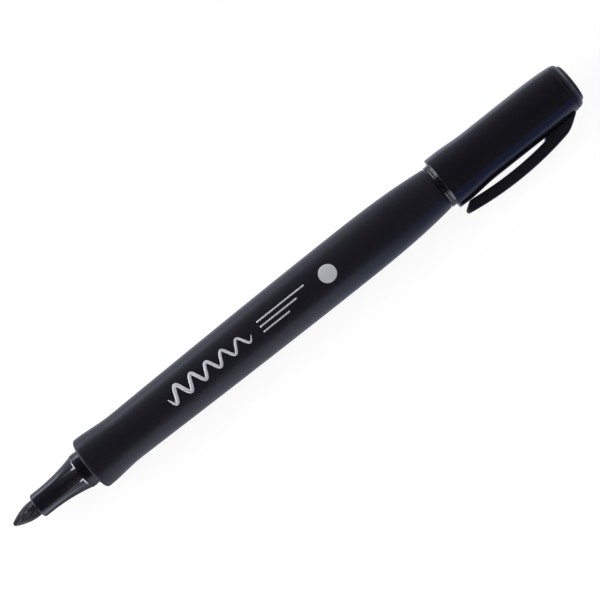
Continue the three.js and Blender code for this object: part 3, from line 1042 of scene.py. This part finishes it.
def lip_highlight(side, station):
    """How strong the painted highlight is at a point of the cap: only on the edge of the lip."""
    return LIP_HIGHLIGHT * fading(station, LIP_CORNER + LIP_HIGHLIGHT_REACH) * on_lit_flanks(side)


cap_shell = lofted("glossy_cap_shell", rings_of(cap_outline(), cap_mouth), closed=True)

# %% [markdown]
# A slot in the cap's wall takes the clip's tongue. It is cut with a boolean: the ragged faces
# that a boolean leaves don't matter here, since the slot sits under the clip and shows only as
# a dark gap when the clip is pulled away.

# %% Slot for the clip
TONGUE_SETBACK = 1.0
TONGUE_LENGTH = 6.5
TONGUE_WIDTH = 2.7
TONGUE_GAP = 0.15
SLOT_BEYOND_WALL = 1.0
tongue_rear = clip_rear - TONGUE_SETBACK * MM
tongue_front = tongue_rear - TONGUE_LENGTH * MM


def block(name, start, end, low, high, width):
    """A box between two stations and two distances from the axis, on the clip's side."""
    rings = []
    for x in (start, end):
        corners = [(low, -width / 2), (high, -width / 2), (high, width / 2), (low, width / 2)]
        rings.append([from_axis(x, out, side) for out, side in corners])
    return lofted(name, rings, closed=False)


def combined(piece, tool, operation):
    """Joins or cuts a piece with a tool for good, and removes the tool."""
    modifier = piece.modifiers.new("boolean", "BOOLEAN")
    modifier.operation = operation
    modifier.object = tool
    modifier.solver = "EXACT"
    graph = bpy.context.evaluated_depsgraph_get()
    mesh = bpy.data.meshes.new_from_object(piece.evaluated_get(graph))
    piece.modifiers.clear()
    piece.data = mesh
    bpy.data.objects.remove(tool)
    print(f"{piece.name}: {len(mesh.polygons)} faces after {operation.lower()}")


slot_tool = block(
    "slot_tool",
    tongue_front - TONGUE_GAP * MM,
    tongue_rear + TONGUE_GAP * MM,
    CAP_BORE / 2,
    CAP_RADIUS + SLOT_BEYOND_WALL,
    TONGUE_WIDTH + 2 * TONGUE_GAP,
)
combined(cap_shell, slot_tool, "DIFFERENCE")
keep_sharp(cap_shell, degrees=40)
store_painted_highlight(cap_shell, cap_mouth, lip_highlight)
cap_black = moulded_finish(
    "cap_gloss_black",
    (0.0066, 0.0062, 0.0086),
    roughness=0.13,
    scratch_depth=0.002,
    wave_depth=0.012,
)
finish(cap_shell, cap_black, "cap", "cap_black", "cap_shell")

# %% [markdown]
# ## Inner cup
# The cup is undyed plastic and sits inside the cap, where it seals the nib. It can be seen
# only through the cap's mouth once the cap is off.

# %% Inner cup
CUP_BORE = SPIGOT_RADIUS + SLIDE_GAP
CUP_RADIUS = CAP_BORE - PRESS_GAP
CUP_RIM_RADIUS = CAP_MOUTH_BORE - PRESS_GAP
CUP_FLOOR = 0.8
CUP_FLOOR_ROUND = 0.6
CUP_MOUTH_ROUND = 0.3
CUP_RIM_ROUND = 0.1
CUP_END_ROUND = 0.8


def cup_outline():
    length = (cup_end - cup_mouth) / MM
    return softened([
        (0, length - CUP_FLOOR),
        (CUP_BORE, length - CUP_FLOOR, CUP_FLOOR_ROUND),
        (CUP_BORE, 0, CUP_MOUTH_ROUND),
        (CUP_RIM_RADIUS, 0, CUP_RIM_ROUND),
        (CUP_RIM_RADIUS, CUP_RIM_LENGTH, CUP_RIM_ROUND),
        (CUP_RADIUS, CUP_RIM_LENGTH),
        (CUP_RADIUS, length, CUP_END_ROUND),
        (0, length),
    ])


def natural_plastic_finish():
    milky = Finish("natural_plastic")
    milky.set(Roughness=0.45, Subsurface_Weight=0.3, Subsurface_Scale=0.002)
    clouds = milky.noise(3.0)
    milky.colours(clouds, (0.35, (0.68, 0.68, 0.65)), (0.65, (0.74, 0.74, 0.71)))
    milky.rough(milky.between(milky.noise(0.7), 0.38, 0.52))
    milky.bumps((milky.noise(0.3), 0.01, 0.4))
    return milky.material


inner_cup = turned("sealing_cup", cup_outline(), cup_mouth, closed=False)
finish(inner_cup, natural_plastic_finish(), "inner_cup", "natural_plastic", "cap_inner_cup")

# %% [markdown]
# ## Cap end plug
# A small plug closes the cap. Its domed rim carries on the cap's outline behind a fine
# seam, and a flat disc with a well rounded edge stands up in the middle.

# %% Cap end plug
RIM_LENGTH = 1.35
RIM_TOP_RADIUS = 4.72
RIM_RADIUS = CAP_END_RADIUS - CAP_END_ROUND
RIM_FRONT_ROUND = 0.06
DOME_STEPS = 14
DISC_RADIUS = 4.44
DISC_HEIGHT = 0.72
DISC_CORNER = 0.55
RIM_GROOVE_DEPTH = 0.15
RIM_GROOVE_ROUND = 0.04
STEM_RADIUS = CAP_BORE - PRESS_GAP
STEM_BORE = 3.8
STEM_ROUND = 0.1


def end_plug_outline():
    end = (cap_end - end_plug_front) / MM
    rim_rear = end - DISC_HEIGHT
    rim_front = rim_rear - RIM_LENGTH
    dome = []
    for angle in spaced(0, math.pi / 2, DOME_STEPS)[1:]:
        radius = blend(RIM_TOP_RADIUS, RIM_RADIUS, math.cos(angle))
        dome.append((radius, rim_front + RIM_LENGTH * math.sin(angle)))
    return softened([
        (0, rim_front),
        (STEM_BORE, rim_front),
        (STEM_BORE, 0),
        (STEM_RADIUS, 0, STEM_ROUND),
        (STEM_RADIUS, rim_front),
        (RIM_RADIUS, rim_front, RIM_FRONT_ROUND),
        *dome,
        (RIM_TOP_RADIUS, rim_rear - RIM_GROOVE_DEPTH, RIM_GROOVE_ROUND),
        (DISC_RADIUS, rim_rear - RIM_GROOVE_DEPTH, RIM_GROOVE_ROUND),
        (DISC_RADIUS, end, DISC_CORNER),
        (0, end),
    ])


end_plug = turned("domed_end_plug", end_plug_outline(), end_plug_front, closed=False)
end_black = moulded_finish(
    "end_plug_black",
    (0.0066, 0.0064, 0.0085),
    roughness=0.3,
    scratch_depth=0.003,
    wave_depth=0.006,
)
finish(end_plug, end_black, "cap", "cap_black", "cap_end_plug")

# %% [markdown]
# ## Clip
# The clip is a bowed bar that grows out of the end of the cap. Its outer and inner faces are
# parallel arcs. The tip is cut at a slant, which ends in a pad just off the cap's lip, and the
# root sits on the cap like a saddle. The faces come first, as distances from the cap's axis.

# %% Clip faces
CLIP_CROWN_RADIUS = 9.5
CLIP_CROWN_FROM_MOUTH = 13.25
CLIP_BOW = 75.5
CLIP_THICKNESS = 2.5
CLIP_TIP_CORNER = 0.4
CLIP_TIP_HEIGHT = 0.8
CLIP_TIP_SLANT = 2.0
CLIP_ROOT_LENGTH = 8.3
CLIP_HEEL = 0.08
SHOULDER_SLOPE = 0.7
SHOULDER_ROUND = 0.7
ROOT_FILLET = 0.8
CLIP_LENGTH = (clip_rear - clip_tip) / MM
CLIP_FROM_MOUTH = (clip_tip - cap_mouth) / MM
CLIP_CROWN_STATION = CLIP_CROWN_FROM_MOUTH - CLIP_FROM_MOUTH
ROOT_FRONT = CLIP_LENGTH - CLIP_ROOT_LENGTH


def parallel_arc(station, depth):
    """Distance from the axis to an arc parallel to the clip's outer face."""
    bow = CLIP_BOW - depth
    return CLIP_CROWN_RADIUS - CLIP_BOW + math.sqrt(bow ** 2 - (station - CLIP_CROWN_STATION) ** 2)


def seat_radius(station):
    """Radius of the cap's surface under the clip, with the fine gap between the two."""
    return cap_radius(station + CLIP_FROM_MOUTH) + SLIDE_GAP


def seated(station):
    """0 along the free arm, and up to 1 through the fillet in front of the root."""
    share = share_of(station, ROOT_FRONT - ROOT_FILLET, ROOT_FRONT)
    return max(0, min(1, share)) ** 3


def tip_round(station):
    """How far the rounded corners of the tip draw in."""
    ahead = max(CLIP_TIP_CORNER - station, 0)
    return CLIP_TIP_CORNER - math.sqrt(CLIP_TIP_CORNER ** 2 - ahead ** 2)


def smooth_lower(first, second, blend):
    """The lower of two distances, with a rounded corner where they meet."""
    near = max(blend - abs(first - second), 0) / blend
    return min(first, second) - near * near * blend / 4


def clip_outer(station):
    """The outer arc, which turns over a rounded shoulder into a straight slope to the cap."""
    slope = seat_radius(CLIP_LENGTH) + CLIP_HEEL + SHOULDER_SLOPE * (CLIP_LENGTH - station)
    return smooth_lower(parallel_arc(station, 0), slope, SHOULDER_ROUND) - tip_round(station)


def clip_inner(station):
    """The slant of the tip, the pad just off the cap's lip, the inner arc and the fillet."""
    if station < CLIP_TIP_SLANT:
        start = parallel_arc(0, 0) - CLIP_TIP_HEIGHT
        slant = blend(start, seat_radius(CLIP_TIP_SLANT), station / CLIP_TIP_SLANT)
        return slant + tip_round(station) / 2
    seat = seat_radius(station)
    return blend(max(parallel_arc(station, CLIP_THICKNESS), seat), seat, seated(station))


# %% [markdown]
# The clip is lofted from cross-sections. Each is a rounded rectangle, and where the root
# touches the cap its lower side bends to follow the cap. A bevelled extrusion would be
# quicker, but it can't make that saddle.

# %% Clip cross-sections
CLIP_TIP_WIDTH = 3.8
CLIP_ROOT_WIDTH = 4.4
CLIP_TIP_BLUNT = 0.12
CLIP_ROOT_BLUNT = 0.5
CLIP_ROOT_TAPER = 1.6
CLIP_LEAST_HEIGHT = 0.05
CLIP_CROSS_CROWN = 0.1
CLIP_EDGE = 0.42
EDGE_PER_HEIGHT = 0.45
EDGE_PER_WIDTH = 0.3
ROW_STEPS = 8
QUARTER = spaced(0, math.pi / 2, 5)[1:]


def clip_width(station):
    """The bar widens towards its root and is rounded off at both ends."""
    width = blend(CLIP_TIP_WIDTH, CLIP_ROOT_WIDTH, station / CLIP_LENGTH)
    from_root_end = (CLIP_LENGTH - station) * CLIP_ROOT_TAPER + CLIP_ROOT_BLUNT
    from_end = min(station, from_root_end) + CLIP_TIP_BLUNT
    if from_end < CLIP_TIP_WIDTH / 2:
        lost = 1 - from_end / (CLIP_TIP_WIDTH / 2)
        return width * math.sqrt(1 - lost ** 3)
    return width


def section_profile(width, height):
    """A rounded rectangle as (side, height) pairs, anticlockwise from its lower left."""
    edge = min(CLIP_EDGE, height * EDGE_PER_HEIGHT, width * EDGE_PER_WIDTH)
    flat = width / 2 - edge
    above = height - edge
    row = spaced(-flat, flat, ROW_STEPS)
    lower = [(flat + edge * math.sin(turn), edge - edge * math.cos(turn)) for turn in QUARTER]
    upper = [(flat + edge * math.cos(turn), above + edge * math.sin(turn)) for turn in QUARTER]
    right = lower + upper
    left = [(-side, up) for side, up in reversed(right)]
    bottom = [(side, 0) for side in row]
    top = [(-side, height) for side in row]
    return bottom + right[:-1] + top + left[:-1]


def clip_ring(station):
    """One cross-section: its lower side bends into a saddle, its upper side is crowned."""
    width = clip_width(station)
    inner = clip_inner(station)
    outer = clip_outer(station)
    height = max(outer - inner, CLIP_LEAST_HEIGHT)
    ring = []
    for side, up in section_profile(width, height):
        share = up / height
        saddle = math.sqrt(inner ** 2 - side ** 2) - inner
        crown = CLIP_CROSS_CROWN * (2 * side / width) ** 2
        out = inner + saddle * seated(station) * (1 - share) + (outer - crown - inner) * share
        ring.append(from_axis(clip_tip + station * MM, out, side))
    return ring


# %% Clip mesh
TIP_STEPS = 20
TIP_CROWDING = 2.5
ARM_STEPS = 36
FILLET_STEPS = 10
ROOT_STEPS = 30
TONGUE_ROOTING = 0.27


def clip_stations():
    """Where the cross-sections stand: closest together at the tip and in the fillet."""
    arm_end = ROOT_FRONT - ROOT_FILLET
    tip = [CLIP_TIP_SLANT * share ** TIP_CROWDING for share in spaced(0, 1, TIP_STEPS)]
    arm = spaced(CLIP_TIP_SLANT, arm_end, ARM_STEPS)
    fillet = spaced(arm_end, ROOT_FRONT, FILLET_STEPS)
    return tip[:-1] + arm[:-1] + fillet[:-1] + spaced(ROOT_FRONT, CLIP_LENGTH, ROOT_STEPS)


clip = lofted("bowed_clip", [clip_ring(station) for station in clip_stations()], closed=False)
tongue = block(
    "tongue",
    tongue_front,
    tongue_rear,
    CAP_BORE + TONGUE_GAP,
    CAP_RADIUS + TONGUE_ROOTING,
    TONGUE_WIDTH,
)
combined(clip, tongue, "UNION")
keep_sharp(clip, degrees=38)

# %% [markdown]
# The clip is moulded from the same kind of black as the cap, but it isn't polished. It has a
# satin surface, with faint flow marks along it from the moulding.

# %% Clip finish
def clip_finish():
    satin = Finish("clip_satin_black")
    satin.set(Roughness=0.36, Specular_IOR_Level=0.45)
    flow = satin.noise(1.6, detail=3, vector=satin.stretched(6, 1))
    satin.colours(flow, (0.35, (0.0058, 0.0052, 0.0076)), (0.7, (0.0078, 0.007, 0.0098)))
    satin.rough(satin.between(flow, 0.32, 0.42))
    satin.bumps((satin.noise(0.16, detail=2), 0.004, 0.5))
    return satin.material


finish(clip, clip_finish(), "clip", "clip_black", "clip")

# %% [markdown]
# ## Reservoir and film
# These two never show, so the plain solids stay. They still get the finish of inked fibre
# and clear film, for anyone who opens the marker up.

# %% Hidden solids
def fibre_finish():
    fibre = Finish("inked_fibre")
    fibre.set(Roughness=0.85)
    strands = fibre.noise(0.1, detail=3, vector=fibre.stretched(12, 1))
    fibre.colours(strands, (0.3, (0.004, 0.004, 0.007)), (0.7, (0.012, 0.012, 0.018)))
    fibre.bumps((strands, 0.05, 0.8))
    return fibre.material


def film_finish():
    film = Finish("clear_film")
    film.set(Transmission_Weight=0.6, Roughness=0.2, IOR=1.5)
    haze = film.noise(4.0)
    film.colours(haze, (0.3, (0.66, 0.66, 0.64)), (0.7, (0.76, 0.76, 0.74)))
    film.rough(film.between(haze, 0.15, 0.3))
    film.bumps((film.noise(1.5, vector=film.stretched(4, 1)), 0.02, 0.4))
    return film.material


for node, material in (("ink_reservoir", fibre_finish()), ("reservoir_film", film_finish())):
    solid = frame["nodes"][node]
    solid.data.materials.clear()
    solid.data.materials.append(material)
    print(node, "keeps its solid with", material.name)

# %% [markdown]
# ## Table
# The marker lies on a plain white table, large enough to fill the view from any side. Lamps
# never light a table evenly, so its material asks Light Path what kind of ray has met it. The
# camera sees the table mostly as an even glow, which keeps the background white and still
# lets the shadow show. The marker's glosses see a painted reflection instead, a glow with
# painted light and shade: white beside the nib with two painted bright spots beside the nib
# holder, blue out beside the cap, and a painted shade close under the marker.

# %% Table
TABLE_REACH = 4.0
PAPER_GLOW = 0.92
GLOSS_GLOW = 0.93
# The painted reflection that the marker's glosses see: its blue and white, two painted bright
# spots and a painted shade close under the marker.
WHITE_ALONG = (0.005, 0.042)
WHITE_ACROSS = (-0.021, -0.004)
PAINTED_REFLECTION_BLUE = (0.01, 0.09, 0.42)
PAINTED_REFLECTION_WHITE = (0.76, 0.8, 1)
BRIGHT_CENTRES = ((-0.0745, -0.0125, 0), (-0.085, -0.009, 0))
BRIGHT_REACH = 0.007
DIM_REACH = 0.011
BRIGHT_LEVEL = 3.0
HOLDER_TABLE = 0.7
SHADE_ACROSS = (0.005, 0.0095)
HOLDER_SHADE = 0.7
BARREL_SHADE = 0.2
SHADE_ALONG = (-0.058, -0.05)


def white_table():
    build = bmesh.new()
    low = cad_bounds[0][2]
    corners = [(-1, -1), (1, -1), (1, 1), (-1, 1)]
    build.faces.new([build.verts.new((x * TABLE_REACH, y * TABLE_REACH, low)) for x, y in corners])
    return new_piece("table", build)


class TableFinish(Finish):
    """A finish that adds a glow for some of the rays that meet it."""

    def __init__(self, name):
        super().__init__(name)
        split = self.nodes.new("ShaderNodeSeparateXYZ")
        self.links.new(self.place, split.inputs[0])
        self.x = split.outputs["X"]
        self.y = split.outputs["Y"]

    def painted_bright_spot(self, centre):
        """A painted bright spot: the bright level near a place on the table, and 1 beyond a soft
        edge.
        """
        apart = self.measured("DISTANCE", centre)
        return self.between(apart, BRIGHT_LEVEL, 1, BRIGHT_REACH, DIM_REACH)

    def painted_reflection_colour(self):
        """The painted reflection colour of the table in the marker's glosses: deep blue out beside
        the cap.
        """
        before_cap = self.between(self.x, 1, 0, *WHITE_ALONG)
        beside_marker = self.between(self.y, 0, 1, *WHITE_ACROSS)
        white = self.counted("MAXIMUM", before_cap, beside_marker)
        return self.ramp(white, (0, PAINTED_REFLECTION_BLUE), (1, PAINTED_REFLECTION_WHITE))

    def painted_reflection_strength(self):
        """Painted shade close under the marker, and painted bright spots beside the nib holder."""
        under = self.between(self.counted("ABSOLUTE", self.y), 1, 0, *SHADE_ACROSS)
        shade = self.between(self.x, HOLDER_SHADE, BARREL_SHADE, *SHADE_ALONG)
        shaded = self.between(self.counted("MULTIPLY", under, shade), 1, 0, 0, 1)
        dimmed = self.between(self.x, HOLDER_TABLE, 1, *SHADE_ALONG)
        even = self.counted("MULTIPLY", shaded, dimmed)
        spots = [self.painted_bright_spot(centre) for centre in BRIGHT_CENTRES]
        return self.counted("MULTIPLY", even, self.counted("MAXIMUM", *spots))

    def glowing(self, shader, rays, share, glow):
        """Mixes a glow into a shader, for the given rays only."""
        return self.mixed(self.between(rays, 0, share, 0, 1), shader, glow.outputs[0])


def table_finish():
    """White laminate that the camera sees mostly as an even glow, and glosses as a painted
    reflection.
    """
    top = TableFinish("white_table")
    top.set(Specular_IOR_Level=0.1)
    cloud = top.noise(60.0)
    top.colours(cloud, (0.3, (0.93, 0.93, 0.93)), (0.7, (0.95, 0.95, 0.95)))
    top.rough(top.between(cloud, 0.85, 0.95))
    rays = top.nodes.new("ShaderNodeLightPath").outputs
    gloss = top.counted("MAXIMUM", rays["Is Glossy Ray"], rays["Is Transmission Ray"])
    mirrored = top.nodes.new("ShaderNodeEmission")
    top.links.new(top.painted_reflection_colour(), mirrored.inputs["Color"])
    top.links.new(top.painted_reflection_strength(), mirrored.inputs["Strength"])
    seen = top.glowing(top.shader.outputs[0], gloss, GLOSS_GLOW, mirrored)
    paper = top.nodes.new("ShaderNodeEmission")
    seen = top.glowing(seen, rays["Is Camera Ray"], PAPER_GLOW, paper)
    top.links.new(seen, top.nodes["Material Output"].inputs["Surface"])
    return top.material


table = white_table()
table.data.materials.append(table_finish())

# %% [markdown]
# ## Light
# Black plastic shows its shape only by what it reflects, and a lamp beside a cylinder draws a
# hard stripe along it. So the two large lamps beyond the marker's ends are there for the
# table and leave no highlight on the marker. A small and dim one behind the marker does leave
# one, a soft line along its upper flank.

# %% Lamps
VIEW_TARGET = Vector(((nib_tip + cap_end) / 2, AXIS_POINT.y, AXIS_POINT.z))
LAMP_DISTANCE = 1.1
LAMP_HEIGHT = math.radians(26)
LAMP_RISE = Vector((0, 0, math.sin(LAMP_HEIGHT)))
LAMP_RUN = ALONG * math.cos(LAMP_HEIGHT)
LAMP_SIZE = 0.8
BACK_LAMP_WAY = Vector((-0.26, 0.9, 0.36))
BACK_LAMP_SIZE = 0.4
LAMP_COLOUR = (0.8, 0.84, 1)


def soft_lamp(name, way, size, watts, mirrored):
    """A square lamp that faces the marker; one that isn't mirrored leaves no highlight."""
    data = bpy.data.lights.new(name, "AREA")
    data.shape = "SQUARE"
    data.size = size
    data.energy = watts
    data.color = LAMP_COLOUR if mirrored else (1, 1, 1)
    lamp = bpy.data.objects.new(name, data)
    lamp.location = VIEW_TARGET + way.normalized() * LAMP_DISTANCE
    lamp.rotation_euler = way.to_track_quat("Z", "Y").to_euler()
    lamp.visible_glossy = mirrored
    bpy.context.scene.collection.objects.link(lamp)
    print(name, "at", [round(part, 2) for part in lamp.location])


soft_lamp("nib_end_softbox", LAMP_RISE - LAMP_RUN, LAMP_SIZE, watts=18.5, mirrored=False)
soft_lamp("cap_end_softbox", LAMP_RISE + LAMP_RUN, LAMP_SIZE, watts=8, mirrored=False)
soft_lamp("back_softbox", BACK_LAMP_WAY, BACK_LAMP_SIZE, watts=1.2, mirrored=True)

# %% [markdown]
# Whatever else the marker mirrors is a room made of world nodes. It is bright past both long
# sides of the marker, most of all in the corners towards its ends. It is dark on the viewer's
# side, which leaves the middle of the marker black, and past the nib end. A little light past
# the cap end picks out the cap's rim. The camera sees plain paper white in place of the room.

# %% Room
END_WALL = 0.045
WALL_TURN = (0.08, 0.35)
CORNER_LIGHT = 8
CORNER_TURN = (0.45, 0.85)
CAP_END_LIGHT = 0.5
CAP_END_TURN = (0.3, 0.75)
FAR_SIDE = -0.5
ROOM_COLOUR = (0.8, 0.83, 1)
ROOM_LEVELS = ((0, 0.03), (0.2, 0.05), (0.5, 0.18), (0.7, 0.36), (1, 0.6))


class Room(NodeRecipe):
    """Surroundings whose light depends on the way that a ray takes."""

    def __init__(self, name):
        self.world = bpy.data.worlds.new(name)
        self.world.use_nodes = True
        super().__init__(self.world.node_tree, "Generated")

    def along(self, direction):
        """How far a ray points along a direction, from -1 to 1."""
        return self.measured("DOT_PRODUCT", direction)

    def brightness(self):
        """Bright past the long sides, and brighter still in the corners."""
        sideways = self.counted("ABSOLUTE", self.along(CLIP_WAY))
        lengthways = self.counted("ABSOLUTE", self.along(ALONG))
        sides = self.between(sideways, END_WALL, 1, *WALL_TURN)
        corners = self.between(lengthways, 1, CORNER_LIGHT, *CORNER_TURN)
        return self.counted("MULTIPLY", sides, corners)

    def shade(self):
        """From the viewer's side, at 0, to the far side behind the marker, at 1."""
        behind = self.between(self.along(FACE_WAY), 0, 1, 1, FAR_SIDE)
        stops = [(at, tuple(level * part for part in ROOM_COLOUR)) for at, level in ROOM_LEVELS]
        return self.ramp(behind, *stops)


def studio_room():
    room = Room("studio_room")
    walls = room.nodes["Background"]
    room.links.new(room.shade(), walls.inputs["Color"])
    room.links.new(room.brightness(), walls.inputs["Strength"])
    end_wall = room.nodes.new("ShaderNodeBackground")
    end_wall.inputs["Color"].default_value = (*ROOM_COLOUR, 1)
    past_cap = room.between(room.along(ALONG), 0, CAP_END_LIGHT, *CAP_END_TURN)
    room.links.new(past_cap, end_wall.inputs["Strength"])
    both = room.nodes.new("ShaderNodeAddShader")
    room.links.new(walls.outputs[0], both.inputs[0])
    room.links.new(end_wall.outputs[0], both.inputs[1])
    paper = room.nodes.new("ShaderNodeBackground")
    paper.inputs["Color"].default_value = (1, 1, 1, 1)
    camera_ray = room.nodes.new("ShaderNodeLightPath").outputs["Is Camera Ray"]
    seen = room.mixed(camera_ray, both.outputs[0], paper.outputs[0])
    room.links.new(seen, room.nodes["World Output"].inputs["Surface"])
    return room.world


bpy.context.scene.world = studio_room()
bpy.context.scene.view_settings.view_transform = "Standard"

# %% [markdown]
# ## Camera
# The photograph looks square at the side of the marker from 0.43 m away, with the clip just
# below the outline, and the marker runs up to the right at 38.5 degrees. So the camera looks
# against the direction that points at the viewer, and is rolled by that angle. The middle of
# the perspective lies 18 mm nearer the cap than the middle of the picture, as in a cropped
# photograph. The camera stands that far aside, and a shift of the lens makes up for it.

# %% Camera
CAMERA_DISTANCE = 0.4325
CAMERA_LENS = 123.0
CAMERA_ROLL = math.radians(38.51)
AIM_STATION = 56.25
AIM_TO_CLIP = 0.41
CAMERA_ASIDE = 0.018

camera_data = bpy.data.cameras.new("camera")
camera_data.lens = CAMERA_LENS
camera_data.sensor_width = 36.0
camera_data.clip_start = 0.01
camera = bpy.data.objects.new("camera", camera_data)
bpy.context.scene.collection.objects.link(camera)
bpy.context.scene.camera = camera

aim = AXIS_POINT + ALONG * (barrel_front + AIM_STATION * MM) + CLIP_WAY * AIM_TO_CLIP * MM
camera.location = aim + FACE_WAY * CAMERA_DISTANCE + ALONG * CAMERA_ASIDE
rightward = ALONG * math.cos(CAMERA_ROLL) + CLIP_WAY * math.sin(CAMERA_ROLL)
upward = FACE_WAY.cross(rightward)
turn = Matrix((rightward, upward, FACE_WAY)).transposed()
camera.rotation_euler = turn.to_euler()
per_metre = CAMERA_LENS / (camera_data.sensor_width * CAMERA_DISTANCE)
camera_data.shift_x = -ALONG.dot(rightward) * CAMERA_ASIDE * per_metre
camera_data.shift_y = -ALONG.dot(upward) * CAMERA_ASIDE * per_metre
print("camera at", [round(part, 3) for part in camera.location])

# %% [markdown]
# ## Size of the solids
# The modelled pieces have to stay inside the box of the solids, and that box is printed.

print("box of the solids", [[round(value, 4) for value in corner] for corner in cad_bounds])
